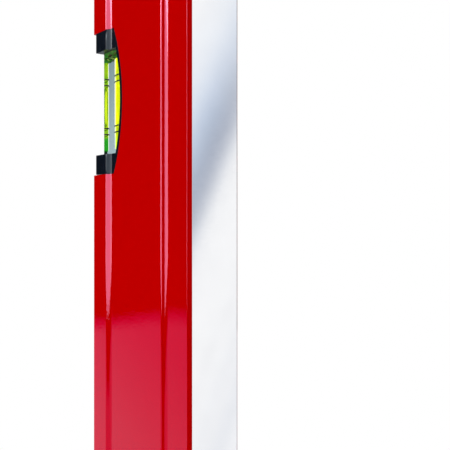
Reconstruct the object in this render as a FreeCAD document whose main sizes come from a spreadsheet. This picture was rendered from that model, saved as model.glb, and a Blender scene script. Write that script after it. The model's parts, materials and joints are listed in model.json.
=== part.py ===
"""Magnetic spirit level: a powder-coated box extrusion with one block vial and two plumb vials.

Frame: X along the level, Y across its thickness, Z up from the milled measuring face at z = 0.
The origin is the middle of the measuring face. All sizes are in millimetres.
"""

import FreeCAD, Part
import math
import os

import Sketcher

DRIVING = {
    # Overall size
    "body_length": 590.0,
    "body_height": 60.8,
    "flange_width": 25.0,
    # Outer section of the extrusion
    "web_recess": 1.0,
    "foot_recess": 1.0,
    "edge_chamfer": 1.2,
    "top_chamfer": 0.4,
    "foot_top": 12.1,
    "foot_step_rise": 3.16,
    "foot_convex_share": 0.29,
    "flange_depth": 12.8,
    "flange_step_rise": 3.3,
    "flange_convex_share": 0.3,
    # Hollow cells of the extrusion
    "web_wall": 1.8,
    "foot_wall": 2.0,
    "sole_thickness": 5.0,
    "lower_rib_top": 14.4,
    "lower_rib_thickness": 2.4,
    "upper_rib_depth": 20.6,
    "upper_rib_thickness": 2.0,
    "top_wall": 2.6,
    "cell_bevel": 0.4,
    # Cut-out in the top edge for the block vial
    "cutout_length": 54.3,
    "cutout_depth": 13.9,
    "cutout_sagitta": 6.2,
    # Black cradle of the block vial
    "cradle_fit": 0.05,
    "cradle_drop": 1.6,
    "end_block_length": 7.5,
    "end_block_radius": 0.8,
    "cradle_rim": 1.65,
    "socket_depth": 3.0,
    # Acrylic block vial
    "block_fit": 0.1,
    "block_drop": 2.9,
    "chamber_radius": 5.0,
    "chamber_roof": 2.8,
    "chamber_length": 34.5,
    "barrel_sagitta": 0.05,
    "plug_radius": 4.2,
    "plug_fit": 0.02,
    "inner_ring_gap": 16.8,
    "ring_pitch": 2.4,
    "ring_width": 0.5,
    "ring_thickness": 0.12,
    "liquid_gap": 0.02,
    "bubble_length": 15.6,
    "bubble_gap": 0.3,
    "bubble_floor": 1.9,
    "bubble_taper": 2.0,
    # Plumb vials
    "plumb_end_distance": 60.0,
    "plumb_height": 31.6,
    "window_length": 34.0,
    "window_height": 30.0,
    "window_radius": 8.0,
    "frame_fit": 0.05,
    "frame_drop": 0.1,
    "sight_length": 20.0,
    "sight_height": 19.0,
    "sight_radius": 3.0,
    "bezel_width": 2.4,
    "bezel_depth": 1.6,
    "tube_radius": 5.5,
    "tube_length": 26.0,
    "tube_fit": 0.05,
    "bore_radius": 4.3,
    "tube_roof": 2.4,
    "tube_plug_length": 3.0,
    "plumb_ring_gap": 6.6,
    "plumb_bubble_length": 6.0,
    # End caps and their rubber pads
    "cap_plate": 2.0,
    "cap_lift": 0.4,
    "cap_fit": 0.12,
    "cap_plug_length": 14.0,
    "cap_plug_wall": 1.6,
    "pad_thickness": 3.0,
    "pad_edge": 1.2,
    "pad_boss_depth": 1.0,
    "pad_boss_height": 40.0,
    "pad_boss_width": 12.0,
    "pad_boss_radius": 3.0,
    # Magnets in the measuring face
    "magnet_spacing": 320.0,
    "cup_radius": 6.0,
    "cup_height": 3.2,
    "cup_wall": 1.0,
    "cup_floor": 1.2,
    "cup_bore_fit": 0.05,
    "magnet_recess": 0.3,
    "disc_fit": 0.05,
    "disc_recess": 0.05,
}

DOC = FreeCAD.newDocument("spirit_level")
SHEET = DOC.addObject("Spreadsheet::Sheet", "Sizes")

Z_AXIS = FreeCAD.Vector(0, 0, 1)
ON_PLANE = 1e-6


class Size:
    """A length that carries both its value and the sheet expression that it follows."""

    def __init__(self, value, text):
        self.value = value
        self.text = text

    def __add__(self, other):
        other = as_size(other)
        return Size(self.value + other.value, f"({self.text} + {other.text})")

    def __sub__(self, other):
        other = as_size(other)
        return Size(self.value - other.value, f"({self.text} - {other.text})")

    def __mul__(self, other):
        other = as_size(other)
        return Size(self.value * other.value, f"({self.text} * {other.text})")

    def __truediv__(self, other):
        other = as_size(other)
        return Size(self.value / other.value, f"({self.text} / {other.text})")

    def __neg__(self):
        return Size(-self.value, f"(0 - {self.text})")

    __radd__ = __add__
    __rmul__ = __mul__


def as_size(number):
    """Return number as a Size."""
    return number if isinstance(number, Size) else Size(float(number), repr(float(number)))


def root(size):
    """Return the square root of a Size."""
    return Size(math.sqrt(size.value), f"sqrt({size.text})")


def arc_radius(chord, sagitta):
    """Return the radius of the arc with this chord and sagitta."""
    half = chord / 2
    return (half * half + sagitta * sagitta) / (sagitta * 2)


def fill_sheet():
    """Write each driving dimension into its own aliased cell."""
    for row, (name, value) in enumerate(DRIVING.items(), start=1):
        SHEET.set(f"A{row}", name)
        SHEET.set(f"B{row}", str(value))
        SHEET.setAlias(f"B{row}", name)
    DOC.recompute()
    return {name: Size(float(value), f"Sizes.{name}") for name, value in DRIVING.items()}


D = fill_sheet()


class Sections:
    """Half widths and heights that several pieces share."""

    flange = D["flange_width"] / 2
    web = flange - D["web_recess"]
    foot = web - D["foot_recess"]
    cell = web - D["web_wall"]
    top = D["body_height"]
    foot_step_top = D["foot_top"] + D["foot_step_rise"]
    flange_underside = top - D["flange_depth"]
    flange_step_top = flange_underside + D["flange_step_rise"]
    upper_rib_top = top - D["upper_rib_depth"]
    foot_arcs = arc_radius(D["foot_step_rise"] * 2, D["foot_recess"])
    flange_arcs = arc_radius(D["flange_step_rise"] * 2, D["web_recess"])
    cutout_half = D["cutout_length"] / 2
    cutout_radius = arc_radius(D["cutout_length"], D["cutout_sagitta"])
    cutout_shoulder = top - D["cutout_depth"]
    cutout_floor = cutout_shoulder - D["cutout_sagitta"]
    block_half_width = cell - D["block_fit"]
    block_length = D["cutout_length"] - D["end_block_length"] * 2 + D["socket_depth"] * 2
    block_top = top - D["block_drop"]
    chamber_height = block_top - D["chamber_roof"] - D["chamber_radius"]
    cap_plane = D["body_length"] / 2


S = Sections


def plumb_end(side):
    """Return where the plumb vial on one side stands along the level."""
    return (S.cap_plane - D["plumb_end_distance"]) * side


class Outline:
    """A closed outline, drawn anticlockwise, whose corners and radii follow the sheet."""

    def __init__(self):
        self.corners = []

    def to(self, across, up, radius=None, side=1):
        """Add a corner. With a radius, an arc leaves it, with its centre on the left (1) or right (-1)."""
        self.corners.append((as_size(across), as_size(up), radius, side))
        return self

    def draw(self, sketch):
        """Draw the outline in a sketch, one constrained corner after another."""
        count = len(self.corners)
        pieces = []
        for index, (across, up, radius, side) in enumerate(self.corners):
            after = self.corners[(index + 1) % count]
            start = FreeCAD.Vector(across.value, up.value, 0)
            end = FreeCAD.Vector(after[0].value, after[1].value, 0)
            if radius is None:
                number = sketch.addGeometry(Part.LineSegment(start, end), False)
                pieces.append((number, 1, 2))
            else:
                number = sketch.addGeometry(arc_between(start, end, radius.value, side), False)
                pieces.append((number, 1, 2) if side > 0 else (number, 2, 1))
        for index, (number, first, last) in enumerate(pieces):
            following = pieces[(index + 1) % count]
            sketch.addConstraint(Sketcher.Constraint("Coincident", number, last, following[0], following[1]))
            across, up, radius, side = self.corners[index]
            pin(sketch, "DistanceX", number, first, across)
            pin(sketch, "DistanceY", number, first, up)
            if radius is not None:
                placed = sketch.addConstraint(Sketcher.Constraint("Radius", number, radius.value))
                sketch.setExpression(f"Constraints[{placed}]", radius.text)


def arc_between(start, end, radius, side):
    """Return the minor arc from start to end whose centre lies on the left (1) or right (-1)."""
    chord = end - start
    middle = (start + end) * 0.5
    left = FreeCAD.Vector(-chord.y, chord.x, 0).normalize()
    rise = math.sqrt(max(radius * radius - chord.Length * chord.Length / 4, 0.0))
    centre = middle + left * (rise * side)
    first, last = (start, end) if side > 0 else (end, start)
    begin = math.atan2(first.y - centre.y, first.x - centre.x)
    finish = math.atan2(last.y - centre.y, last.x - centre.x)
    if finish <= begin:
        finish += 2 * math.pi
    return Part.ArcOfCircle(Part.Circle(centre, Z_AXIS, radius), begin, finish)


def pin(sketch, kind, number, point, size):
    """Hold one coordinate of a sketch point at a size measured from the sketch's origin."""
    origin = (-1, 1)
    if size.text == "0.0":
        in_line = "Vertical" if kind == "DistanceX" else "Horizontal"
        sketch.addConstraint(Sketcher.Constraint(in_line, *origin, number, point))
        return
    if size.value > 0:
        constraint = Sketcher.Constraint(kind, *origin, number, point, size.value)
        text = size.text
    else:
        constraint = Sketcher.Constraint(kind, number, point, *origin, -size.value)
        text = (-size).text
    placed = sketch.addConstraint(constraint)
    sketch.setExpression(f"Constraints[{placed}]", text)


def draw_circle(sketch, across, up, radius):
    """Draw a circle whose centre and radius follow the sheet."""
    across, up = as_size(across), as_size(up)
    centre = FreeCAD.Vector(across.value, up.value, 0)
    number = sketch.addGeometry(Part.Circle(centre, Z_AXIS, radius.value), False)
    pin(sketch, "DistanceX", number, 3, across)
    pin(sketch, "DistanceY", number, 3, up)
    placed = sketch.addConstraint(Sketcher.Constraint("Radius", number, radius.value))
    sketch.setExpression(f"Constraints[{placed}]", radius.text)


def box(left, low, right, high):
    """Return the outline of a rectangle."""
    return Outline().to(left, low).to(right, low).to(right, high).to(left, high)


def round_box(left, low, right, high, radius):
    """Return the outline of a rectangle with round corners."""
    left, low, right, high = (as_size(value) for value in (left, low, right, high))
    outline = Outline()
    outline.to(left + radius, low).to(right - radius, low, radius)
    outline.to(right, low + radius).to(right, high - radius, radius)
    outline.to(right - radius, high).to(left + radius, high, radius)
    return outline.to(left, high - radius).to(left, low + radius, radius)


def bevel_box(left, low, right, high, bevel):
    """Return the outline of a rectangle with bevelled corners."""
    left, low, right, high = (as_size(value) for value in (left, low, right, high))
    outline = Outline().to(left + bevel, low).to(right - bevel, low).to(right, low + bevel)
    outline.to(right, high - bevel).to(right - bevel, high).to(left + bevel, high)
    return outline.to(left, high - bevel).to(left, low + bevel)


def section_half(inset=0.0, low=None, high=None):
    """Return the right side of the extrusion's outer section, from the bottom to the top.

    Each entry is (half width, height, radius, side). With low, only the part above that height in
    the web is kept, and high moves the top edge.
    """
    inset = as_size(inset)
    top = high or S.top
    chamfer = D["edge_chamfer"]
    concave = S.foot_arcs * (as_size(1) - D["foot_convex_share"])
    convex = S.foot_arcs * D["foot_convex_share"]
    foot_bend_out = S.web - D["foot_recess"] * D["foot_convex_share"]
    foot_bend_up = S.foot_step_top - D["foot_step_rise"] * D["foot_convex_share"]
    upper_concave = S.flange_arcs * (as_size(1) - D["flange_convex_share"])
    upper_convex = S.flange_arcs * D["flange_convex_share"]
    bend_out = S.flange - D["web_recess"] * D["flange_convex_share"]
    bend_up = S.flange_step_top - D["flange_step_rise"] * D["flange_convex_share"]
    if low is None:
        lower = [
            (S.foot - chamfer, as_size(0), None, 1),
            (S.foot, chamfer, None, 1),
            (S.foot, D["foot_top"], concave, -1),
            (foot_bend_out, foot_bend_up, convex, 1),
            (S.web, S.foot_step_top, None, 1),
        ]
    else:
        lower = [(S.web - inset, low, None, 1)]
    upper = [
        (S.web - inset, S.flange_underside, upper_concave, -1),
        (bend_out - inset, bend_up, upper_convex, 1),
        (S.flange - inset, S.flange_step_top, None, 1),
        (S.flange - inset, top - D["top_chamfer"], None, 1),
        (S.flange - inset - D["top_chamfer"], top, None, 1),
    ]
    return lower + upper


def section_outline():
    """Return the whole outer section of the extrusion, with its round steps."""
    half = section_half()
    outline = Outline()
    for width, height, radius, side in half:
        outline.to(width, height, radius, side)
    mirrored = list(reversed(half))
    for index, (width, height, radius, side) in enumerate(mirrored):
        leaving = mirrored[index + 1] if index + 1 < len(mirrored) else (None, None, None, 1)
        outline.to(-width, height, leaving[2], leaving[3])
    return outline


def cap_outline():
    """Return the outline of the end caps: the extrusion's, with plain slants and a raised lower face."""
    chamfer = D["edge_chamfer"]
    lift = D["cap_lift"]
    half = [
        (S.foot - chamfer + lift, lift),
        (S.foot, chamfer),
        (S.foot, D["foot_top"]),
        (S.web, S.foot_step_top),
        (S.web, S.flange_underside),
        (S.flange, S.flange_step_top),
        (S.flange, S.top - D["top_chamfer"]),
        (S.flange - D["top_chamfer"], S.top),
    ]
    outline = Outline()
    for width, height in half:
        outline.to(width, height)
    for width, height in reversed(half):
        outline.to(-width, height)
    return outline


def new_body(label):
    """Return a new body with this label."""
    body = DOC.addObject("PartDesign::Body", label)
    body.Label = label
    return body


def new_sketch(body, name, plane, offset=None, shift=None):
    """Return a sketch on one of the body's origin planes.

    offset moves it along the plane's normal, and shift moves its own origin up the plane.
    """
    sketch = body.newObject("Sketcher::SketchObject", f"{body.Label}_{name}")
    base = next(item for item in body.Origin.OriginFeatures if item.Role == plane)
    sketch.AttachmentSupport = [(base, "")]
    sketch.MapMode = "FlatFace"
    if offset is not None:
        sketch.setExpression("AttachmentOffset.Base.z", as_size(offset).text)
    if shift is not None:
        sketch.setExpression("AttachmentOffset.Base.y", as_size(shift).text)
    return sketch


def add_pad(body, sketch, length, symmetric=False, reverse=False):
    """Pad a sketch by a length, from its plane or to both sides of it."""
    pad = body.newObject("PartDesign::Pad", f"{sketch.Name}_pad")
    pad.Profile = sketch
    pad.SideType = "Symmetric" if symmetric else "One side"
    pad.Reversed = reverse
    pad.setExpression("Length", length.text)
    sketch.Visibility = False
    return pad


def add_pocket(body, sketch, length=None, symmetric=False, reverse=False):
    """Cut a sketch into the body, by a length or through all of it."""
    pocket = body.newObject("PartDesign::Pocket", f"{sketch.Name}_pocket")
    pocket.Profile = sketch
    pocket.SideType = "Symmetric" if symmetric else "One side"
    pocket.Reversed = reverse
    if length is None:
        pocket.Type = "ThroughAll"
    else:
        pocket.setExpression("Length", length.text)
    return pocket


def add_turn(body, sketch, axis, cut=False):
    """Turn a sketch right round its own horizontal or vertical axis, as a solid or as a cut."""
    kind = "Groove" if cut else "Revolution"
    turned = body.newObject(f"PartDesign::{kind}", f"{sketch.Name}_turn")
    turned.Profile = sketch
    turned.ReferenceAxis = (sketch, [axis])
    turned.Angle = 360.0
    return turned


def place(body, along, half_turn=False):
    """Place a body along the level, turned round Z where it faces the other way."""
    if half_turn:
        body.Placement = FreeCAD.Placement(FreeCAD.Vector(0, 0, 0), FreeCAD.Rotation(Z_AXIS, 180))
    body.setExpression("Placement.Base.x", along.text)


def build_profile():
    """Make the box extrusion: outer section, three cells, vial cut-outs and magnet bores."""
    body = new_body("profile")
    section = new_sketch(body, "section", "YZ_Plane")
    section_outline().draw(section)
    add_pad(body, section, D["body_length"], symmetric=True)

    cells = new_sketch(body, "cells", "YZ_Plane")
    lower_half = S.foot - D["foot_wall"]
    lower_top = D["lower_rib_top"] - D["lower_rib_thickness"]
    middle_top = S.upper_rib_top - D["upper_rib_thickness"]
    upper_top = S.top - D["top_wall"]
    bevel = D["cell_bevel"]
    bevel_box(-lower_half, D["sole_thickness"], lower_half, lower_top, bevel).draw(cells)
    bevel_box(-S.cell, D["lower_rib_top"], S.cell, middle_top, bevel).draw(cells)
    bevel_box(-S.cell, S.upper_rib_top, S.cell, upper_top, bevel).draw(cells)
    add_pocket(body, cells, symmetric=True)

    cutout = new_sketch(body, "cutout", "XZ_Plane")
    above = S.top + D["top_wall"]
    outline = Outline().to(S.cutout_half, S.cutout_shoulder).to(S.cutout_half, above)
    outline.to(-S.cutout_half, above).to(-S.cutout_half, S.cutout_shoulder, S.cutout_radius)
    outline.draw(cutout)
    add_pocket(body, cutout, symmetric=True)

    windows = new_sketch(body, "windows", "XZ_Plane")
    for side in (-1, 1):
        centre = plumb_end(side)
        half_length = D["window_length"] / 2
        half_height = D["window_height"] / 2
        middle = D["plumb_height"]
        window = round_box(centre - half_length, middle - half_height, centre + half_length,
                           middle + half_height, D["window_radius"])
        window.draw(windows)
    add_pocket(body, windows, symmetric=True)

    bores = new_sketch(body, "magnet_bores", "XY_Plane")
    draw_magnet_circles(bores, D["cup_radius"] + D["cup_bore_fit"])
    add_pocket(body, bores, D["cup_height"] + D["magnet_recess"], reverse=True)
    return body


def build_cradle():
    """Make the black moulding round the block vial: two end blocks joined by two arched rims."""
    body = new_body("vial_cradle")
    half = S.cutout_half - D["cradle_fit"]
    inner = half - D["end_block_length"]
    shoulder = S.cutout_shoulder + D["cradle_fit"]
    top = S.top - D["cradle_drop"]
    corner = D["end_block_radius"]
    outer_radius = S.cutout_radius
    inner_radius = outer_radius - D["cradle_rim"]
    centre = S.cutout_floor + outer_radius
    inner_end = centre - root(inner_radius * inner_radius - inner * inner)

    front = new_sketch(body, "front", "XZ_Plane")
    outline = Outline().to(half, shoulder).to(half, top - corner, corner)
    outline.to(half - corner, top).to(inner + corner, top, corner)
    outline.to(inner, top - corner).to(inner, inner_end, inner_radius, -1)
    outline.to(-inner, inner_end).to(-inner, top - corner, corner)
    outline.to(-inner - corner, top).to(-half + corner, top, corner)
    outline.to(-half, top - corner).to(-half, shoulder, arc_radius(half * 2, D["cutout_sagitta"]))
    outline.draw(front)
    add_pad(body, front, D["flange_width"], symmetric=True)

    sides = new_sketch(body, "sides", "YZ_Plane")
    below = S.cutout_floor - D["cradle_rim"]
    beyond = S.flange + D["web_recess"]
    for side in (1, -1):
        flank = section_half(D["cradle_fit"], below, top)
        if side > 0:
            outline = Outline().to(beyond, S.top).to(flank[-1][0], S.top)
            for index in range(len(flank) - 1, -1, -1):
                leaving = flank[index - 1] if index > 0 else (None, None, None, 1)
                outline.to(flank[index][0], flank[index][1], leaving[2], -leaving[3])
            outline.to(beyond, below)
        else:
            outline = Outline().to(-beyond, below)
            for width, height, radius, turn in flank:
                outline.to(-width, height, radius, -turn)
            outline.to(-flank[-1][0], S.top).to(-beyond, S.top)
        outline.draw(sides)
    add_pocket(body, sides, symmetric=True)

    socket = new_sketch(body, "socket", "XY_Plane")
    reach = S.block_length / 2 + D["cradle_fit"]
    box(-reach, -S.cell, reach, S.cell).draw(socket)
    add_pocket(body, socket, S.block_top + D["cradle_fit"], reverse=True)

    legs = new_sketch(body, "legs", "XY_Plane", offset=S.upper_rib_top)
    width = S.cell - D["cell_bevel"]
    box(reach, -width, half, width).draw(legs)
    box(-half, -width, -reach, width).draw(legs)
    add_pad(body, legs, S.flange_underside - S.upper_rib_top)
    return body


def chamber_outline(left, right, radius, sagitta):
    """Return half of a barrel-shaped chamber that turns about the sketch's horizontal axis."""
    outline = Outline().to(left, 0).to(right, 0)
    outline.to(right, radius - sagitta, arc_radius(right - left, sagitta))
    return outline.to(left, radius - sagitta)


def build_block():
    """Make the clear block of the horizontal vial, with its barrel chamber and plug bore."""
    body = new_body("vial_block")
    half = S.block_length / 2
    width = S.block_half_width
    section = new_sketch(body, "section", "YZ_Plane")
    bevel_box(-width, S.upper_rib_top, width, S.block_top, D["cell_bevel"]).draw(section)
    add_pad(body, section, S.block_length, symmetric=True)

    chamber = new_sketch(body, "chamber", "XZ_Plane", shift=S.chamber_height)
    reach = D["chamber_length"] / 2
    chamber_outline(-reach, reach, D["chamber_radius"], D["barrel_sagitta"]).draw(chamber)
    add_turn(body, chamber, "H_Axis", cut=True)

    bore = new_sketch(body, "plug_bore", "XZ_Plane", shift=S.chamber_height)
    box(reach, 0, half, D["plug_radius"]).draw(bore)
    add_turn(body, bore, "H_Axis", cut=True)
    return body


def build_plugs():
    """Make the plugs that seal the filling ends of the three vials, as one group."""
    body = new_body("vial_plugs")
    body.AllowCompound = True
    sketch = new_sketch(body, "half", "XZ_Plane", shift=S.chamber_height)
    reach = D["chamber_length"] / 2
    box(reach, 0, S.block_length / 2, D["plug_radius"] - D["plug_fit"]).draw(sketch)
    add_turn(body, sketch, "H_Axis")
    foot = new_sketch(body, "feet", "XY_Plane", offset=D["plumb_height"] - D["tube_length"] / 2)
    for end in (-1, 1):
        draw_circle(foot, plumb_end(end), 0, D["bore_radius"] - D["plug_fit"])
    add_pad(body, foot, D["tube_plug_length"])
    return body


def build_rings():
    """Make the thin rings in the vials, four in the block and two in each tube, as one group."""
    body = new_body("vial_rings")
    body.AllowCompound = True
    sketch = new_sketch(body, "halves", "XZ_Plane", shift=S.chamber_height)
    outer = D["chamber_radius"] - D["barrel_sagitta"] - D["liquid_gap"]
    inner = outer - D["ring_thickness"]
    half = D["ring_width"] / 2
    near = D["inner_ring_gap"] / 2
    far = near + D["ring_pitch"]
    for centre in (-far, -near, near, far):
        box(centre - half, inner, centre + half, outer).draw(sketch)
    add_turn(body, sketch, "H_Axis")

    outer = D["bore_radius"] - D["liquid_gap"]
    inner = outer - D["ring_thickness"]
    for name, side in (("lower", -1), ("upper", 1)):
        height = D["plumb_height"] + D["plumb_ring_gap"] / 2 * side - D["ring_width"] / 2
        sketch = new_sketch(body, name, "XY_Plane", offset=height)
        for end in (-1, 1):
            draw_circle(sketch, plumb_end(end), 0, outer)
            draw_circle(sketch, plumb_end(end), 0, inner)
        add_pad(body, sketch, D["ring_width"])
    return body


def build_bubble():
    """Make the light solid that stands in for the gas bubble, flat where it meets the liquid."""
    body = new_body("vial_bubble")
    half = D["bubble_length"] / 2
    radius = D["chamber_radius"] - D["bubble_gap"]
    taper = D["bubble_taper"]
    sketch = new_sketch(body, "half", "XZ_Plane", shift=S.chamber_height)
    outline = Outline().to(-half, 0).to(half, 0).to(half, D["bubble_floor"])
    outline.to(half - taper, radius).to(-half + taper, radius).to(-half, D["bubble_floor"])
    outline.draw(sketch)
    add_turn(body, sketch, "H_Axis")
    under = new_sketch(body, "under", "XY_Plane", offset=S.chamber_height + D["bubble_floor"])
    reach = D["chamber_length"] / 2
    box(-reach, -S.cell, reach, S.cell).draw(under)
    add_pocket(body, under)
    return body


def build_liquid():
    """Make the liquid of the block vial, inside the rings, with room for the bubble at the top."""
    body = new_body("vial_liquid")
    sketch = new_sketch(body, "half", "XZ_Plane", shift=S.chamber_height)
    reach = D["chamber_length"] / 2 - D["liquid_gap"]
    radius = D["chamber_radius"] - D["barrel_sagitta"] - D["ring_thickness"] - D["liquid_gap"] * 2
    box(-reach, 0, reach, radius).draw(sketch)
    add_turn(body, sketch, "H_Axis")

    room = new_sketch(body, "room", "XY_Plane", offset=S.chamber_height + D["bubble_floor"]
                      - D["liquid_gap"])
    half = D["bubble_length"] / 2 + D["liquid_gap"]
    box(-half, -S.cell, half, S.cell).draw(room)
    add_pocket(body, room, reverse=True)
    return body


def build_plumb_frame(label, along):
    """Make a plumb vial's frame: a window ring with a bezel on both sides and the tube's seat.

    The seat is open at the frame's lower edge, where the tube slides in before the frame is fitted.
    """
    body = new_body(label)
    middle = D["plumb_height"]
    depth = S.web - D["frame_drop"]
    ring = new_sketch(body, "ring", "XZ_Plane", shift=middle)
    half_length = D["window_length"] / 2 - D["frame_fit"]
    half_height = D["window_height"] / 2 - D["frame_fit"]
    radius = D["window_radius"] - D["frame_fit"]
    round_box(-half_length, -half_height, half_length, half_height, radius).draw(ring)
    sight_length = D["sight_length"] / 2
    sight_height = D["sight_height"] / 2
    round_box(-sight_length, -sight_height, sight_length, sight_height, D["sight_radius"]).draw(ring)
    add_pad(body, ring, depth * 2, symmetric=True)

    width = D["bezel_width"]
    for name, face, behind in (("front_bezel", depth, False), ("rear_bezel", -depth, True)):
        bezel = new_sketch(body, name, "XZ_Plane", offset=face, shift=middle)
        round_box(-sight_length - width, -sight_height - width, sight_length + width,
                  sight_height + width, D["sight_radius"] + width).draw(bezel)
        add_pocket(body, bezel, D["bezel_depth"], reverse=behind)

    seat = new_sketch(body, "seat", "XZ_Plane", shift=middle)
    seat_top = D["tube_length"] / 2 + D["tube_fit"]
    box(0, D["window_height"] / -2, D["tube_radius"] + D["tube_fit"], seat_top).draw(seat)
    add_turn(body, seat, "V_Axis", cut=True)
    place(body, along)
    return body


def build_tube(label, along):
    """Make the clear tube of a plumb vial, closed at the top and bored from below."""
    body = new_body(label)
    middle = D["plumb_height"]
    half = D["tube_length"] / 2
    wall = new_sketch(body, "wall", "XZ_Plane", shift=middle)
    box(0, -half, D["tube_radius"], half).draw(wall)
    add_turn(body, wall, "V_Axis")
    bore = new_sketch(body, "bore", "XZ_Plane", shift=middle)
    box(0, -half, D["bore_radius"], half - D["tube_roof"]).draw(bore)
    add_turn(body, bore, "V_Axis", cut=True)
    place(body, along)
    return body


def build_tube_liquid(label, along):
    """Make the liquid of a plumb vial, up to the gas at the top of the tube."""
    body = new_body(label)
    half = D["tube_length"] / 2
    low = -half + D["tube_plug_length"] + D["liquid_gap"]
    high = half - D["tube_roof"] - D["liquid_gap"] * 2 - D["plumb_bubble_length"] - D["bubble_gap"]
    sketch = new_sketch(body, "half", "XZ_Plane", shift=D["plumb_height"])
    radius = D["bore_radius"] - D["ring_thickness"] - D["liquid_gap"] * 2
    box(0, low, radius, high).draw(sketch)
    add_turn(body, sketch, "V_Axis")
    place(body, along)
    return body


def build_tube_bubble(label, along):
    """Make the light solid for a plumb vial's bubble, just below the tube's closed end."""
    body = new_body(label)
    high = D["tube_length"] / 2 - D["tube_roof"] - D["bubble_gap"]
    low = high - D["plumb_bubble_length"]
    sketch = new_sketch(body, "half", "XZ_Plane", shift=D["plumb_height"])
    box(0, low, D["bore_radius"] - D["bubble_gap"], high).draw(sketch)
    add_turn(body, sketch, "V_Axis")
    place(body, along)
    return body


def build_plumb_unit(name, side):
    """Make the four pieces of one plumb vial that aren't in the groups of rings and plugs."""
    along = plumb_end(side)
    return [
        build_plumb_frame(f"{name}_plumb_frame", along),
        build_tube(f"{name}_plumb_tube", along),
        build_tube_liquid(f"{name}_plumb_liquid", along),
        build_tube_bubble(f"{name}_plumb_bubble", along),
    ]


def build_cap(label, side):
    """Make an end cap: a plate with the level's outline and a hollow plug for each cell."""
    body = new_body(label)
    plate = new_sketch(body, "plate", "YZ_Plane")
    cap_outline().draw(plate)
    add_pad(body, plate, D["cap_plate"])

    fit = D["cap_fit"]
    lower_half = S.foot - D["foot_wall"] - fit
    lower_top = D["lower_rib_top"] - D["lower_rib_thickness"] - fit
    middle_top = S.upper_rib_top - D["upper_rib_thickness"] - fit
    upper_top = S.top - D["top_wall"] - fit
    cells = [
        (lower_half, D["sole_thickness"] + fit, lower_top),
        (S.cell - fit, D["lower_rib_top"] + fit, middle_top),
        (S.cell - fit, S.upper_rib_top + fit, upper_top),
    ]
    plugs = new_sketch(body, "plugs", "YZ_Plane")
    for half, low, high in cells:
        bevel_box(-half, low, half, high, D["cell_bevel"]).draw(plugs)
    add_pad(body, plugs, D["cap_plug_length"], reverse=True)

    wall = D["cap_plug_wall"]
    hollows = new_sketch(body, "hollows", "YZ_Plane", offset=-D["cap_plug_length"])
    for half, low, high in cells:
        box(-half + wall, low + wall, half - wall, high - wall).draw(hollows)
    add_pocket(body, hollows, D["cap_plug_length"] - wall, reverse=True)

    seat = new_sketch(body, "pad_seat", "YZ_Plane", offset=D["cap_plate"])
    pad_boss(fit).draw(seat)
    add_pocket(body, seat, D["pad_boss_depth"])
    place(body, S.cap_plane * side, half_turn=side < 0)
    return body


def pad_boss(grow=0.0):
    """Return the outline of the boss that holds a rubber pad in its cap."""
    grow = as_size(grow)
    half_width = D["pad_boss_width"] / 2 + grow
    half_height = D["pad_boss_height"] / 2 + grow
    middle = S.top / 2
    return round_box(-half_width, middle - half_height, half_width, middle + half_height,
                     D["pad_boss_radius"])


def build_pad(label, side):
    """Make the rubber pad that takes the knocks outside an end cap, with round outer edges."""
    body = new_body(label)
    plate = new_sketch(body, "plate", "YZ_Plane", offset=D["cap_plate"])
    cap_outline().draw(plate)
    pad = add_pad(body, plate, D["pad_thickness"])
    DOC.recompute()
    outer = (D["cap_plate"] + D["pad_thickness"]).value
    edges = [f"Edge{number}" for number, edge in enumerate(pad.Shape.Edges, start=1)
             if abs(edge.BoundBox.XMin - outer) < ON_PLANE
             and abs(edge.BoundBox.XMax - outer) < ON_PLANE]
    rounding = body.newObject("PartDesign::Chamfer", f"{label}_edge")
    rounding.Base = (pad, edges)
    rounding.setExpression("Size", (D["pad_edge"] / 2).text)
    boss = new_sketch(body, "boss", "YZ_Plane", offset=D["cap_plate"])
    pad_boss().draw(boss)
    add_pad(body, boss, D["pad_boss_depth"], reverse=True)
    place(body, S.cap_plane * side, half_turn=side < 0)
    return body


def draw_magnet_circles(sketch, radius):
    """Draw a circle at the place of each of the two magnets."""
    for side in (-1, 1):
        draw_circle(sketch, D["magnet_spacing"] / 2 * side, 0, radius)


def build_magnet_cups():
    """Make the steel cups of the two pot magnets, open towards the measuring face."""
    body = new_body("magnet_cups")
    body.AllowCompound = True
    outside = new_sketch(body, "outside", "XY_Plane", offset=D["magnet_recess"])
    draw_magnet_circles(outside, D["cup_radius"])
    add_pad(body, outside, D["cup_height"])
    inside = new_sketch(body, "inside", "XY_Plane", offset=D["magnet_recess"])
    draw_magnet_circles(inside, D["cup_radius"] - D["cup_wall"])
    add_pocket(body, inside, D["cup_height"] - D["cup_floor"], reverse=True)
    return body


def build_magnet_discs():
    """Make the magnet discs that sit in the two cups."""
    body = new_body("magnet_discs")
    body.AllowCompound = True
    low = D["magnet_recess"] + D["disc_recess"]
    disc = new_sketch(body, "disc", "XY_Plane", offset=low)
    draw_magnet_circles(disc, D["cup_radius"] - D["cup_wall"] - D["disc_fit"])
    add_pad(body, disc, D["cup_height"] - D["cup_floor"] - D["disc_recess"])
    return body


def build_all():
    """Build every piece of the level and return them."""
    pieces = [
        build_profile(),
        build_cradle(),
        build_block(),
        build_rings(),
        build_plugs(),
        build_liquid(),
        build_bubble(),
        build_magnet_cups(),
        build_magnet_discs(),
    ]
    for name, side in (("left", -1), ("right", 1)):
        pieces += build_plumb_unit(name, side)
        pieces.append(build_cap(f"{name}_end_cap", side))
        pieces.append(build_pad(f"{name}_end_pad", side))
    return pieces


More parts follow.
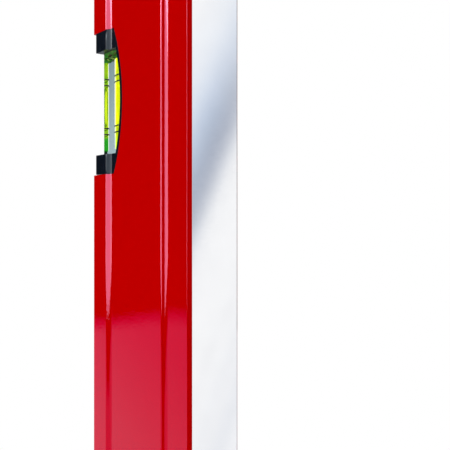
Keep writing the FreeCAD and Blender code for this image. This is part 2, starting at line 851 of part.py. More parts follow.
def check_and_write(pieces):
    """Recompute, stop at any failed object, and write each piece to its own file."""
    DOC.recompute()
    failed = [item.Name for item in DOC.Objects if {"Invalid", "Error"} & set(item.State)]
    for piece in pieces:
        if piece.Shape.isNull() or not piece.Shape.isValid() or not piece.Shape.Solids:
            failed.append(piece.Label)
    if failed:
        raise RuntimeError(f"these objects failed: {sorted(set(failed))}")
    os.makedirs("parts", exist_ok=True)
    for piece in pieces:
        piece.Shape.exportStep(f"parts/{piece.Label}.step")
        bounds = piece.Shape.BoundBox
        print(f"{piece.Label:28} {len(piece.Shape.Solids)} {piece.Shape.Volume:12.1f}"
              f"  x {bounds.XMin:8.2f} {bounds.XMax:8.2f}  y {bounds.YMin:7.2f} {bounds.YMax:7.2f}"
              f"  z {bounds.ZMin:6.2f} {bounds.ZMax:6.2f}")


check_and_write(build_all())
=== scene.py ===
"""Looks of a magnetic spirit level: finer meshes, finishes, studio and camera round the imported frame.

Lengths are metres in the part's own frame: X along the level, Y across its thickness and Z up from
the milled measuring face, whose middle is the origin.
"""

import json
import logging
import math
from dataclasses import dataclass, field
from enum import Enum
from typing import Any

import bmesh
import bpy
from mathutils import Matrix, Vector
from mathutils.noise import noise as noise_at

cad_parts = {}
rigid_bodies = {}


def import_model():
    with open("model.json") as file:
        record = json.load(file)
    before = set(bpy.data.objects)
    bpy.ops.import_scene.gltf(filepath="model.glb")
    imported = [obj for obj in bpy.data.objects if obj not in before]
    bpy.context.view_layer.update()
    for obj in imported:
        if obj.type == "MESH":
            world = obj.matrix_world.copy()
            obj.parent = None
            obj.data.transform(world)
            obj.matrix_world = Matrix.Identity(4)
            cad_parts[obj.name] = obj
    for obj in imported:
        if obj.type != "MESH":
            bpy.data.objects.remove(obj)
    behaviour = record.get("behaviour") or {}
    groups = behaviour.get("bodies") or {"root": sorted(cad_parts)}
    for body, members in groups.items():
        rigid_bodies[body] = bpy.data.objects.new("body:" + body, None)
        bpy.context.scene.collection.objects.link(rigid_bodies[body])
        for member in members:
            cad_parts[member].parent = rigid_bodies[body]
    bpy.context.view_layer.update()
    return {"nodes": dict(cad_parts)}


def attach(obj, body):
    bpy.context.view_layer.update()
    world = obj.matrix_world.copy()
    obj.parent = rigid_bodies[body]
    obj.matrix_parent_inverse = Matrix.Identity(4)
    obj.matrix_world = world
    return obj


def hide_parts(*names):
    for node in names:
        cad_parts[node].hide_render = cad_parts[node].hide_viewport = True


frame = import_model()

MM = 0.001
MERGE = 0.0005 * MM
ROUND_STEPS = 72
ARCH_STEPS = 64
LUMP_SCALE = 330.0
FINE_LUMP_SCALE = 900.0
LOG = logging.getLogger("spirit_level")

Colour = tuple[float, float, float]
Span = tuple[float, float]
Socket = bpy.types.NodeSocket


class Axis(Enum):
    """The axis that a prism, a turned piece or a card's face runs along."""

    X = 0
    Y = 1
    Z = 2


class Cut(Enum):
    """How one solid changes another."""

    TAKE = "DIFFERENCE"
    SHARE = "INTERSECT"
    JOIN = "UNION"


class Body(Enum):
    """The bodies that pieces of this scene ride on."""

    LEVEL = "level"
    VIAL_BUBBLE = "vial_bubble_body"


@dataclass
class NodeSheet:
    """A node tree that is written one node at a time."""

    tree: bpy.types.NodeTree

    def add(self, kind: str, inputs: dict[Any, Any] | None = None, **settings: Any) -> bpy.types.Node:
        """Add a node.

        Args:
            kind: The node's type name.
            inputs: A value, or another node's output, for each named or numbered input.
            settings: Properties of the node itself.

        Returns:
            The new node.
        """
        node = self.tree.nodes.new(kind)
        for name, value in settings.items():
            setattr(node, name, value)
        for name, value in (inputs or {}).items():
            if isinstance(value, Socket):
                self.tree.links.new(value, node.inputs[name])
            else:
                node.inputs[name].default_value = value
        return node

    def first(self, kind: str, inputs: dict[Any, Any] | None = None, **settings: Any) -> Socket:
        """Add a node and return its first output."""
        return self.add(kind, inputs, **settings).outputs[0]

    def reckon(self, operation: str, *values: Any) -> Socket:
        """Work out a sum, such as ADD, of one or two values."""
        return self.first("ShaderNodeMath", dict(enumerate(values)), operation=operation)

    def point(self, stretch: tuple[float, float, float] = (1.0, 1.0, 1.0)) -> Socket:
        """Return the surface point in the object's own axes, stretched along each by a factor."""
        place = self.add("ShaderNodeTexCoord").outputs["Object"]
        return self.first("ShaderNodeMapping", {"Vector": place, "Scale": stretch})

    def reach(self, point: Socket, heading: Any) -> Socket:
        """Return how far a point lies along a heading."""
        node = self.add("ShaderNodeVectorMath", {0: point, 1: tuple(heading)}, operation="DOT_PRODUCT")
        return node.outputs["Value"]

    def noise(self, point: Socket, scale: float, detail: float = 2.0) -> Socket:
        """Return a soft noise from 0 to 1 with that many lumps per metre and finer layers."""
        return self.first("ShaderNodeTexNoise", {"Vector": point, "Scale": scale, "Detail": detail})

    def spread(self, value: Socket, low: float, high: float, start: float = 0.0,
               stop: float = 1.0) -> Socket:
        """Map a value from start..stop to low..high."""
        ends = {"From Min": start, "From Max": stop, "To Min": low, "To Max": high}
        return self.first("ShaderNodeMapRange", {"Value": value, **ends})

    def share(self, value: Socket, start: float, stop: float) -> Socket:
        """Return how far a value has come from start to stop, from 0 to 1."""
        return self.spread(value, 0.0, 1.0, start, stop)

    def tones(self, value: Socket, first: Any, last: Any) -> Socket:
        """Mix two colours, or sockets that carry one, by a value from 0 to 1."""
        ends = [end if isinstance(end, Socket) else (*end, 1.0) for end in (first, last)]
        return self.add("ShaderNodeMix", {0: value, 6: ends[0], 7: ends[1]}, data_type="RGBA").outputs[2]

    def bumped(self, height: Socket, distance: float, before: Socket | None = None) -> Socket:
        """Turn a height into a bent normal.

        Args:
            height: The height, from 0 to 1.
            distance: The height of 1, in metres.
            before: The normal that it bends, or None for the surface's own.

        Returns:
            The socket that carries the normal.
        """
        inputs = {"Height": height, "Distance": distance, "Strength": 1.0}
        if before is not None:
            inputs["Normal"] = before
        return self.first("ShaderNodeBump", inputs)

    def shade(self, inputs: dict[str, Any]) -> None:
        """Write the shader with its inputs, and the material's output."""
        shader = self.first("ShaderNodeBsdfPrincipled", inputs)
        self.add("ShaderNodeOutputMaterial", {"Surface": shader})

    def shine(self, colour: Any, strength: float = 1.0) -> None:
        """Write a plain light, and the material's output."""
        light = self.first("ShaderNodeEmission", {"Color": colour, "Strength": strength})
        self.add("ShaderNodeOutputMaterial", {"Surface": light})


@dataclass(frozen=True)
class Finish:
    """A finish that writes its own material."""

    name: str

    def write(self, sheet: NodeSheet) -> None:
        """Write the material's nodes on a sheet."""
        raise NotImplementedError

    def material(self) -> bpy.types.Material:
        """Make the material.

        Returns:
            The material.
        """
        material = bpy.data.materials.new(self.name)
        material.use_nodes = True
        material.node_tree.nodes.clear()
        self.write(NodeSheet(material.node_tree))
        return material


@dataclass(frozen=True)
class PowderCoat(Finish):
    """Glossy red powder coat with the slight waviness of a sprayed and baked skin."""

    name: str = "red_powder_coat"
    colour: Colour = (0.57, 0.0, 0.0)
    shadow: Colour = (0.545, 0.0, 0.0)
    cloud_scale: float = 35.0
    tint: tuple[float, float, float, float] = (1.0, 0.32, 0.60, 1.0)
    ior: float = 2.0
    roughness: Span = (0.012, 0.037)
    gloss_scale: float = 400.0
    peel_scale: float = 1250.0
    peel_height: float = 0.013 * MM
    wave_scale: float = 160.0
    wave_height: float = 0.015 * MM
    line_scale: float = 1500.0
    line_height: float = 0.006 * MM
    line_stretch: float = 0.002
    top_edge: Span = (60.3 * MM, 60.75 * MM)
    top_roughness: float = 0.36

    def write(self, sheet: NodeSheet) -> None:
        """Write the coat, which is duller on the level's top.

        Args:
            sheet: The sheet to write on.
        """
        point = sheet.point()
        normal = sheet.bumped(sheet.noise(point, self.peel_scale), self.peel_height)
        normal = sheet.bumped(sheet.noise(point, self.wave_scale), self.wave_height, normal)
        along = sheet.point((self.line_stretch, 1.0, 1.0))
        normal = sheet.bumped(sheet.noise(along, self.line_scale), self.line_height, normal)
        rough = sheet.spread(sheet.noise(point, self.gloss_scale), *self.roughness)
        duller = sheet.spread(sheet.reach(point, (0.0, 0.0, 1.0)), 0.0, self.top_roughness, *self.top_edge)
        sheet.shade({
            "Base Color": sheet.tones(sheet.noise(point, self.cloud_scale), self.shadow, self.colour),
            "Roughness": sheet.reckon("ADD", rough, duller),
            "IOR": self.ior,
            "Specular Tint": self.tint,
            "Normal": normal,
        })


@dataclass(frozen=True)
class MilledAluminium(Finish):
    """Bare milled aluminium with the fine grain of the cutter."""

    name: str = "milled_aluminium"
    colour: Colour = (0.935, 0.940, 0.955)
    shadow: Colour = (0.905, 0.910, 0.925)
    patch_scale: float = 90.0
    patch_detail: float = 4.0
    patch_range: Span = (0.3, 0.7)
    roughness: Span = (0.04, 0.12)
    grain_scale: float = 2600.0
    grain_height: float = 0.001 * MM
    grain_stretch: float = 0.12
    grain_detail: float = 3.0

    def write(self, sheet: NodeSheet) -> None:
        """Write the metal, whose grain runs across the level.

        Args:
            sheet: The sheet to write on.
        """
        across = sheet.point((1.0, self.grain_stretch, 1.0))
        grain = sheet.noise(across, self.grain_scale, self.grain_detail)
        patches = sheet.noise(sheet.point(), self.patch_scale, self.patch_detail)
        patches = sheet.share(patches, *self.patch_range)
        sheet.shade({
            "Base Color": sheet.tones(patches, self.shadow, self.colour),
            "Metallic": 1.0,
            "Roughness": sheet.spread(grain, *self.roughness),
            "Normal": sheet.bumped(grain, self.grain_height),
        })


@dataclass(frozen=True)
class MouldedPlastic(Finish):
    """Black moulded plastic or rubber with a fine sparked texture."""

    colour: Colour = (0.0028, 0.0048, 0.0095)
    roughness: Span = (0.09, 0.19)
    paler: float = 1.5
    cloud_scale: float = 300.0
    tint: tuple[float, float, float, float] = (0.65, 0.85, 1.0, 1.0)
    gloss: float = 0.3
    grain_scale: float = 3500.0
    grain_height: float = 0.002 * MM

    def write(self, sheet: NodeSheet) -> None:
        """Write the plastic.

        Args:
            sheet: The sheet to write on.
        """
        point = sheet.point()
        grain = sheet.noise(point, self.grain_scale)
        paler = tuple(self.paler * part for part in self.colour)
        sheet.shade({
            "Base Color": sheet.tones(sheet.noise(point, self.cloud_scale), self.colour, paler),
            "Roughness": sheet.spread(grain, *self.roughness),
            "Specular IOR Level": self.gloss,
            "Specular Tint": self.tint,
            "Normal": sheet.bumped(grain, self.grain_height),
        })


@dataclass(frozen=True)
class Grained(Finish):
    """An opaque finish whose tone and gloss follow a fine grain."""

    colour: Colour
    roughness: Span
    metallic: float = 0.0
    darker: float = 0.8
    stretch: tuple[float, float, float] = (1.0, 1.0, 1.0)
    grain_scale: float = 2000.0
    grain_height: float = 0.005 * MM

    def write(self, sheet: NodeSheet) -> None:
        """Write the finish.

        Args:
            sheet: The sheet to write on.
        """
        grain = sheet.noise(sheet.point(self.stretch), self.grain_scale)
        darker = tuple(self.darker * part for part in self.colour)
        sheet.shade({
            "Base Color": sheet.tones(grain, darker, self.colour),
            "Metallic": self.metallic,
            "Roughness": sheet.spread(grain, *self.roughness),
            "Normal": sheet.bumped(grain, self.grain_height),
        })


@dataclass(frozen=True)
class ClearMedium(Finish):
    """Polished clear acrylic, or gas seen from inside the liquid."""

    first: Colour
    last: Colour
    ior: float
    cloud_scale: float

    def write(self, sheet: NodeSheet) -> None:
        """Write the medium.

        Args:
            sheet: The sheet to write on.
        """
        sheet.shade({
            "Base Color": sheet.tones(sheet.noise(sheet.point(), self.cloud_scale), self.first, self.last),
            "Roughness": 0.0,
            "IOR": self.ior,
            "Transmission Weight": 1.0,
        })


@dataclass(frozen=True)
class VialLiquid(Finish):
    """Yellow-green vial liquid, seen from inside the acrylic that holds it, with a painted glow for the
    light on its front and painted shade behind its rings.
    """

    # how much of the painted ring shade and the darker end is used
    ring_shade_and_end_share: float = 1.0
    colour: Colour = (0.88, 0.99, 0.02)
    # painted shade behind the rings, and the darker green towards one end of the back
    ring_shade_and_end_green: Colour = (0.03, 0.42, 0.02)
    # painted light: emission strength of the darker green parts
    painted_green_glow: float = 0.25
    # painted light: glow of the lit front and of the dimmer back
    painted_front_light: Colour = (0.80, 0.84, 0.004)
    painted_back_light: Colour = (0.06, 0.12, 0.0)
    painted_light_depth: Span = (-4.6 * MM, -3.4 * MM)
    # painted shade: the zone behind the rings that turns greener
    ring_shade_start: Span = (8.0 * MM, 8.8 * MM)
    ring_shade_stop: Span = (12.0 * MM, 13.2 * MM)
    end_zone: Span = (-11.0 * MM, -12.6 * MM)
    shade_mottle_scale: float = 900.0
    shade_mottle: tuple[float, float, float, float] = (0.12, 0.6, 0.35, 0.65)
    ior: float = 0.886

    def write(self, sheet: NodeSheet) -> None:
        """Write the liquid, with painted light that glows brighter in front than behind, painted shade that
        turns it greener behind the rings, and a darker green towards one end of its back.

        Args:
            sheet: The sheet to write on.
        """
        point = sheet.point()
        along, depth = sheet.add("ShaderNodeSeparateXYZ", {0: point}).outputs[:2]
        reach = sheet.reckon("ABSOLUTE", along)
        # painted shade: the zone behind the rings
        near, past = (sheet.share(reach, *zone) for zone in (self.ring_shade_start, self.ring_shade_stop))
        # painted light: 0 on the glowing front, 1 on the dimmer back
        back = sheet.share(depth, *self.painted_light_depth)
        # darker green towards one end, on the back only
        end = sheet.reckon("MULTIPLY", sheet.share(along, *self.end_zone), back)
        # mottled painted shade behind the rings
        shade_mottle = sheet.spread(sheet.noise(point, self.shade_mottle_scale), *self.shade_mottle)
        ring_shade_spots = sheet.reckon("MULTIPLY", sheet.reckon("SUBTRACT", near, past), shade_mottle)
        # painted ring shade and the darker end, mixed into colour and glow
        ring_shade_and_end = sheet.reckon("MULTIPLY", sheet.reckon("MAXIMUM", ring_shade_spots, end), self.ring_shade_and_end_share)
        # painted light: emission brighter on the front than on the back
        glow = sheet.tones(back, self.painted_front_light, self.painted_back_light)
        painted_deep_glow = tuple(self.painted_green_glow * part for part in self.ring_shade_and_end_green)
        sheet.shade({
            "Base Color": sheet.tones(ring_shade_and_end, self.colour, self.ring_shade_and_end_green),
            "Roughness": 0.0,
            "IOR": self.ior,
            "Transmission Weight": 1.0,
            "Emission Color": sheet.tones(ring_shade_and_end, glow, painted_deep_glow),
            "Emission Strength": 1.0,
        })


@dataclass(frozen=True)
class GreenPlug(Finish):
    """Green potting compound with darker and paler flecks, and a painted glow that stands in for light
    through the acrylic.
    """

    name: str = "green_plug"
    colour: Colour = (0.03, 0.26, 0.015)
    shadow: Colour = (0.001, 0.006, 0.001)
    fleck: Colour = (0.40, 0.62, 0.12)
    cloud_scale: float = 380.0
    cloud_detail: float = 3.0
    cloud_range: Span = (0.43, 0.58)
    fleck_scale: float = 646.0
    fleck_range: Span = (0.60, 0.68)
    # painted light: the compound glows as if lit through the acrylic
    painted_glow: float = 0.30
    roughness: float = 0.6

    def write(self, sheet: NodeSheet) -> None:
        """Write the compound.

        Args:
            sheet: The sheet to write on.
        """
        point = sheet.point()
        cloud = sheet.noise(point, self.cloud_scale, self.cloud_detail)
        cloud = sheet.share(cloud, *self.cloud_range)
        flecks = sheet.share(sheet.noise(point, self.fleck_scale), *self.fleck_range)
        mixed = sheet.tones(flecks, sheet.tones(cloud, self.shadow, self.colour), self.fleck)
        sheet.shade({
            "Base Color": mixed,
            "Roughness": self.roughness,
            # painted light: the compound's own colour given off as a glow
            "Emission Color": mixed,
            "Emission Strength": self.painted_glow,
        })


class Finishes:
    """Every finish of the level, made once."""

    def __init__(self) -> None:
        """Make the materials."""
        self.paint = PowderCoat().material()
        self.milled = MilledAluminium().material()
        self.bare = Grained("bare_aluminium", (0.62, 0.63, 0.65), (0.42, 0.42), metallic=1.0, darker=0.75,
                            stretch=(0.01, 1.0, 1.0), grain_scale=2500.0, grain_height=0.01 * MM).material()
        self.plastic = MouldedPlastic("black_plastic").material()
        self.acrylic = ClearMedium("clear_acrylic", (0.97, 0.985, 0.985), (0.99, 1.0, 1.0),
                                   ior=1.58, cloud_scale=120.0).material()
        self.liquid = VialLiquid("vial_liquid").material()
        # the plumb liquid keeps the painted glow but has no painted ring shade or darker end
        self.plumb_liquid = VialLiquid("plumb_liquid", ring_shade_and_end_share=0.0).material()
        self.gas = ClearMedium("bubble_gas", (0.70, 0.82, 0.70), (0.74, 0.86, 0.74),
                               ior=0.714, cloud_scale=150.0).material()
        self.ring = Grained("black_ring", (0.006, 0.008, 0.006), (0.35, 0.45)).material()
        self.plug = GreenPlug().material()
        self.rubber = MouldedPlastic("black_rubber", (0.010, 0.010, 0.011), (0.58, 0.68)).material()
        self.steel = Grained("magnet_steel", (0.60, 0.61, 0.63), (0.23, 0.33), metallic=1.0).material()
        self.magnet = Grained("magnet_disc", (0.52, 0.52, 0.54), (0.31, 0.41), metallic=1.0).material()


@dataclass
class Outline:
    """A closed outline in a plane, drawn anticlockwise, with soft corners and arcs."""

    points: list[tuple[float, float, float]] = field(default_factory=list)
    corner_steps: int = 6

    def go(self, across: float, up: float, soft: float = 0.0) -> "Outline":
        """Add a corner.

        Args:
            across: The corner's first coordinate.
            up: The corner's second coordinate.
            soft: The radius that rounds the corner.

        Returns:
            The outline.
        """
        self.points.append((across, up, soft))
        return self

    def bend(self, across: float, up: float, radius: float, side: int, steps: int = 12) -> "Outline":
        """Add an arc from the last corner.

        Args:
            across: The first coordinate of the arc's end.
            up: The second coordinate of the arc's end.
            radius: The arc's radius.
            side: 1 with the centre on the left of the chord, -1 on its right.
            steps: The number of chords.

        Returns:
            The outline.
        """
        start, end = Vector(self.points[-1][:2]), Vector((across, up))
        chord = end - start
        rise = math.sqrt(max(radius * radius - chord.length_squared / 4, 0.0))
        centre = (start + end) / 2 + Vector((-chord.y, chord.x)).normalized() * rise * side
        begin = math.atan2(start.y - centre.y, start.x - centre.x)
        sweep = 2 * math.asin(min(chord.length / 2 / radius, 1.0)) * side
        for step in range(1, steps):
            angle = begin + sweep * step / steps
            place = centre + Vector((math.cos(angle), math.sin(angle))) * radius
            self.points.append((*place, 0.0))
        return self.go(across, up)

    def mirrored(self, side: list[tuple[float, ...]]) -> "Outline":
        """Add a right side from the bottom up, and the same side mirrored back down.

        Args:
            side: Corners (across, up, soft), and arcs (across, up, radius, side).

        Returns:
            The outline.
        """
        for corner in side:
            if len(corner) == 3:
                self.go(*corner)
            else:
                self.bend(*corner)
        self.points += [(-across, up, soft) for across, up, soft in reversed(self.points)]
        return self

    def closed(self) -> list[Vector]:
        """Draw the outline with its soft corners as arcs.

        Returns:
            The drawn points in order.
        """
        corners = [Vector(point[:2]) for point in self.points]
        drawn: list[Vector] = []
        for index, corner in enumerate(corners):
            soft = self.points[index][2]
            if soft <= 0.0:
                drawn.append(corner)
                continue
            back = (corners[index - 1] - corner).normalized()
            ahead = (corners[(index + 1) % len(corners)] - corner).normalized()
            half = back.angle(ahead) / 2
            middle = corner + (back + ahead).normalized() * soft / math.sin(half)
            first, last = corner + back * soft / math.tan(half), corner + ahead * soft / math.tan(half)
            begin = math.atan2(first.y - middle.y, first.x - middle.x)
            sweep = math.atan2(last.y - middle.y, last.x - middle.x) - begin
            sweep = (sweep + math.pi) % (2 * math.pi) - math.pi
            for step in range(self.corner_steps + 1):
                angle = begin + sweep * step / self.corner_steps
                drawn.append(middle + Vector((math.cos(angle), math.sin(angle))) * soft)
        return drawn


def rectangle(left: float, low: float, right: float, high: float) -> list[Span]:
    """Return a rectangle's corners in order."""
    return [(left, low), (right, low), (right, high), (left, high)]


def box_outline(left: float, low: float, right: float, high: float, soft: float = 0.0) -> Outline:
    """Return a rectangle's outline, with its corners rounded by soft."""
    return Outline([(*corner, soft) for corner in rectangle(left, low, right, high)])


def arc_radius(rise: float, run: float) -> float:
    """Return the radius of an arc that leaves a straight line, over a rise along it and a run across it."""
    return (rise * rise + run * run) / (2 * run)


def spot(axis: Axis, along: float, across: float, up: float) -> Vector:
    """Return a point from its place along an axis and the two coordinates of an outline across it."""
    rest = (across, up)
    return Vector((*rest[:axis.value], along, *rest[axis.value:]))


def tidy_mesh(shape: bmesh.types.BMesh, name: str) -> bpy.types.Mesh:
    """Merge doubles, turn the faces outwards and return the mesh.

    Args:
        shape: The shape, which is freed.
        name: The mesh's name.

    Returns:
        The mesh.
    """
    bmesh.ops.remove_doubles(shape, verts=shape.verts, dist=MERGE)
    bmesh.ops.recalc_face_normals(shape, faces=shape.faces)
    mesh = bpy.data.meshes.new(name)
    shape.to_mesh(mesh)
    shape.free()
    return mesh


def prism(name: str, outline: Outline, axis: Axis, low: float, high: float) -> bpy.types.Mesh:
    """Draw an outline out along an axis.

    Args:
        name: The mesh's name.
        outline: The outline across the axis.
        axis: The axis.
        low: Where the prism starts.
        high: Where it ends.

    Returns:
        The closed mesh.
    """
    shape = bmesh.new()
    points = outline.closed()
    first = [shape.verts.new(spot(axis, low, *point)) for point in points]
    last = [shape.verts.new(spot(axis, high, *point)) for point in points]
    shape.faces.new(first)
    shape.faces.new(last)
    for index in range(len(points)):
        after = (index + 1) % len(points)
        shape.faces.new((first[index], first[after], last[after], last[index]))
    return tidy_mesh(shape, name)


def turned(name: str, line: list[tuple[float, float]], axis: Axis, middle: Vector,
           steps: int = 96) -> bpy.types.Mesh:
    """Turn a line round an axis.

    Args:
        name: The mesh's name.
        line: Pairs of place along the axis and radius, closed unless it starts and ends at radius 0.
        axis: The axis.
        middle: The point that the line's places are measured from.
        steps: The number of sides.

    Returns:
        The closed mesh.
    """
    shape = bmesh.new()
    loops = []
    for place, radius in line:
        if radius <= 0.0:
            loops.append([shape.verts.new(middle + spot(axis, place, 0.0, 0.0))] * steps)
            continue
        angles = [2 * math.pi * step / steps for step in range(steps)]
        ring = [spot(axis, place, radius * math.cos(angle), radius * math.sin(angle)) for angle in angles]
        loops.append([shape.verts.new(middle + point) for point in ring])
    open_ended = line[0][1] <= 0.0
    pairs = zip(loops, loops[1:] if open_ended else loops[1:] + loops[:1])
    for one, two in pairs:
        for index in range(steps):
            after = (index + 1) % steps
            corners = list(dict.fromkeys((one[index], one[after], two[after], two[index])))
            shape.faces.new(corners)
    return tidy_mesh(shape, name)


def add_object(name: str, mesh: bpy.types.Mesh) -> bpy.types.Object:
    """Link a mesh to the scene as an object at the origin.

    Args:
        name: The object's name.
        mesh: The mesh.

    Returns:
        The object.
    """
    piece = bpy.data.objects.new(name, mesh)
    bpy.context.scene.collection.objects.link(piece)
    return piece


def settle(piece: bpy.types.Object) -> bpy.types.Object:
    """Bake a piece's modifiers into its mesh.

    Args:
        piece: The piece.

    Returns:
        The same piece, with no modifier left.
    """
    graph = bpy.context.evaluated_depsgraph_get()
    baked = bpy.data.meshes.new_from_object(piece.evaluated_get(graph), preserve_all_data_layers=True,
                                            depsgraph=graph)
    baked.name = piece.name
    piece.modifiers.clear()
    piece.data = baked
    return piece


def combine(piece: bpy.types.Object, other: bpy.types.Mesh, how: Cut) -> None:
    """Change a piece by another solid.

    Args:
        piece: The piece.
        other: The other solid's mesh, which is used up.
        how: Whether it is taken away, shared or joined.
    """
    tool = add_object("tool", other)
    change = piece.modifiers.new("change", "BOOLEAN")
    change.operation = how.value
    change.solver = "EXACT"
    change.object = tool
    settle(piece)
    bpy.data.objects.remove(tool)


def soften_edges(piece: bpy.types.Object, width: float, steps: int = 2, angle: float = 35.0) -> None:
    """Round a piece's sharp edges, and keep its flats flat.

    Args:
        piece: The piece.
        width: How far the rounding reaches.
        steps: Its number of faces.
        angle: The least angle that is rounded, in degrees.
    """
    bevel = piece.modifiers.new("soft_edges", "BEVEL")
    bevel.width = width
    bevel.segments = steps
    bevel.limit_method = "ANGLE"
    bevel.angle_limit = math.radians(angle)
    bevel.use_clamp_overlap = True
    settle(piece)


def smooth(piece: bpy.types.Object, angle: float = 25.0) -> None:
    """Shade curved faces smoothly, with sharp edges above an angle and flats that stay flat.

    Args:
        piece: The piece.
        angle: The angle above which an edge stays sharp, in degrees.
    """
    piece.data.shade_smooth()
    piece.data.set_sharp_from_angle(angle=math.radians(angle))
    weighted = piece.modifiers.new("flat_flats", "WEIGHTED_NORMAL")
    weighted.keep_sharp = True
    weighted.weight = 100
    settle(piece)


def dress(piece: bpy.types.Object, material: bpy.types.Material, slot: str, body: Body,
          *nodes: str) -> bpy.types.Object:
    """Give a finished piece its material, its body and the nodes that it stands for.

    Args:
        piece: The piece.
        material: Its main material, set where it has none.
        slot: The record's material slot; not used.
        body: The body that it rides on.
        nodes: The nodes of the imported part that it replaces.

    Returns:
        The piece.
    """
    if not piece.data.materials:
        piece.data.materials.append(material)
    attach(piece, body.value)
    if nodes:
        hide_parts(*nodes)
    return piece


def dress_node(node: str, material: bpy.types.Material) -> None:
    """Give a carried-over node its material.

    Args:
        node: The node.
        material: The material.
    """
    slots = frame["nodes"][node].data.materials
    slots.clear()
    slots.append(material)


@dataclass
class Extrusion:
    """The box extrusion: its section, cells, vial cut-out, plumb windows and magnet bores."""

    half_length: float = 295.0 * MM
    height: float = 60.8 * MM
    flange: float = 12.5 * MM
    web: float = 11.5 * MM
    foot: float = 10.5 * MM
    chamfer: float = 1.2 * MM
    top_chamfer: float = 0.4 * MM
    foot_top: float = 12.1 * MM
    foot_step: float = 3.16 * MM
    foot_convex: float = 0.29
    flange_low: float = 48.0 * MM
    flange_step: float = 3.3 * MM
    flange_lean: float = math.radians(26.2)
    flange_arcs: tuple[float, float] = (3.8 * MM, 1.56 * MM)
    cell_half: float = 9.7 * MM
    foot_cell_half: float = 8.5 * MM
    sole: float = 5.0 * MM
    lower_rib: tuple[float, float] = (12.0 * MM, 14.4 * MM)
    upper_rib: tuple[float, float] = (38.2 * MM, 40.2 * MM)
    top_wall: float = 2.6 * MM
    cell_corner: float = 0.4 * MM
    cutout_half: float = 27.15 * MM
    cutout_shoulder: float = 46.9 * MM
    cutout_sagitta: float = 6.2 * MM
    window_place: float = 235.0 * MM
    window_middle: float = 31.6 * MM
    window_half: tuple[float, float] = (17.0 * MM, 15.0 * MM)
    window_corner: float = 8.0 * MM
    window_steps: int = 16
    bore_place: float = 160.0 * MM
    bore_radius: float = 6.05 * MM
    bore_depth: float = 3.5 * MM
    arris: float = 0.3 * MM
    milled_arris: float = 0.14 * MM
    milled_lean: float = math.radians(40.0)
    edge: float = 0.12 * MM
    cutter_margin: float = 2.0 * MM

    def side(self, inset: float = 0.0, low: float | None = None,
             high: float | None = None) -> list[tuple[float, ...]]:
        """Give the right side of the section from the bottom up.

        Args:
            inset: How far the side lies inside the extrusion's.
            low: The height in the web where the side starts, or None for the whole side.
            high: The height where the side ends, or None for the extrusion's own.

        Returns:
            Corners (across, up, soft), and arcs (across, up, radius, side).
        """
        top = self.height if high is None else high
        step_out = self.web - self.foot
        radius = arc_radius(self.foot_step, step_out)
        bend = (self.web - step_out * self.foot_convex,
                self.foot_top + self.foot_step * (1 - self.foot_convex))
        lean = self.flange_lean
        low_arc, high_arc = self.flange_arcs
        low_bend = (self.web + low_arc * (1 - math.cos(lean)), self.flange_low + low_arc * math.sin(lean))
        high_bend = (self.flange - high_arc * (1 - math.cos(lean)),
                     self.flange_low + self.flange_step - high_arc * math.sin(lean))
        line: list[tuple[float, ...]] = []
        if low is None:
            line += [
                (self.foot - self.chamfer, 0.0, self.milled_arris),
                (self.foot, self.chamfer, self.arris),
                (self.foot, self.foot_top, 0.0),
                (*bend, radius * (1 - self.foot_convex), -1),
                (self.web, self.foot_top + self.foot_step, radius * self.foot_convex, 1),
            ]
        else:
            line.append((self.web - inset, low, 0.0))
        return line + [
            (self.web - inset, self.flange_low, 0.0),
            (low_bend[0] - inset, low_bend[1], low_arc, -1),
            (high_bend[0] - inset, high_bend[1], 0.0),
            (self.flange - inset, self.flange_low + self.flange_step, high_arc, 1),
            (self.flange - inset, top - self.top_chamfer, self.arris),
            (self.flange - inset - self.top_chamfer, top, self.arris),
        ]

    def section(self) -> Outline:
        """Return the whole outer section."""
        return Outline().mirrored(self.side())

    def cutters(self) -> list[bpy.types.Mesh]:
        """Draw the solids that are taken out of the bar.

        Returns:
            The closed meshes.
        """
        beyond = self.half_length + self.cutter_margin
        through = self.flange + self.cutter_margin
        cells = [
            (self.foot_cell_half, self.sole, self.lower_rib[0]),
            (self.cell_half, self.lower_rib[1], self.upper_rib[0]),
            (self.cell_half, self.upper_rib[1], self.height - self.top_wall),
        ]
        meshes = []
        for half, low, high in cells:
            cell = box_outline(-half, low, half, high, self.cell_corner)
            meshes.append(prism("cell", cell, Axis.X, -beyond, beyond))
        meshes.append(prism("vial_cutout", self.cutout_outline(), Axis.Y, -through, through))
        wide, tall = self.window_half
        for side in (-1, 1):
            place = self.window_place * side
            low, high = self.window_middle - tall, self.window_middle + tall
            window = box_outline(place - wide, low, place + wide, high, self.window_corner)
            window.corner_steps = self.window_steps
            meshes.append(prism("window", window, Axis.Y, -through, through))
            bore = rod(-self.cutter_margin / 2, self.bore_depth, self.bore_radius)
            middle = Vector((self.bore_place * side, 0.0, 0.0))
            meshes.append(turned("bore", bore, Axis.Z, middle, ROUND_STEPS))
        return meshes

    def cutout_outline(self) -> Outline:
        """Draw the outline of the cut-out for the block vial.

        Returns:
            The outline, open to above the extrusion.
        """
        above = self.height + self.top_wall
        outline = Outline().go(self.cutout_half, self.cutout_shoulder).go(self.cutout_half, above)
        outline.go(-self.cutout_half, above).go(-self.cutout_half, self.cutout_shoulder)
        radius = arc_radius(self.cutout_half, self.cutout_sagitta)
        outline.bend(self.cutout_half, self.cutout_shoulder, radius, 1, ARCH_STEPS)
        outline.points.pop()
        return outline

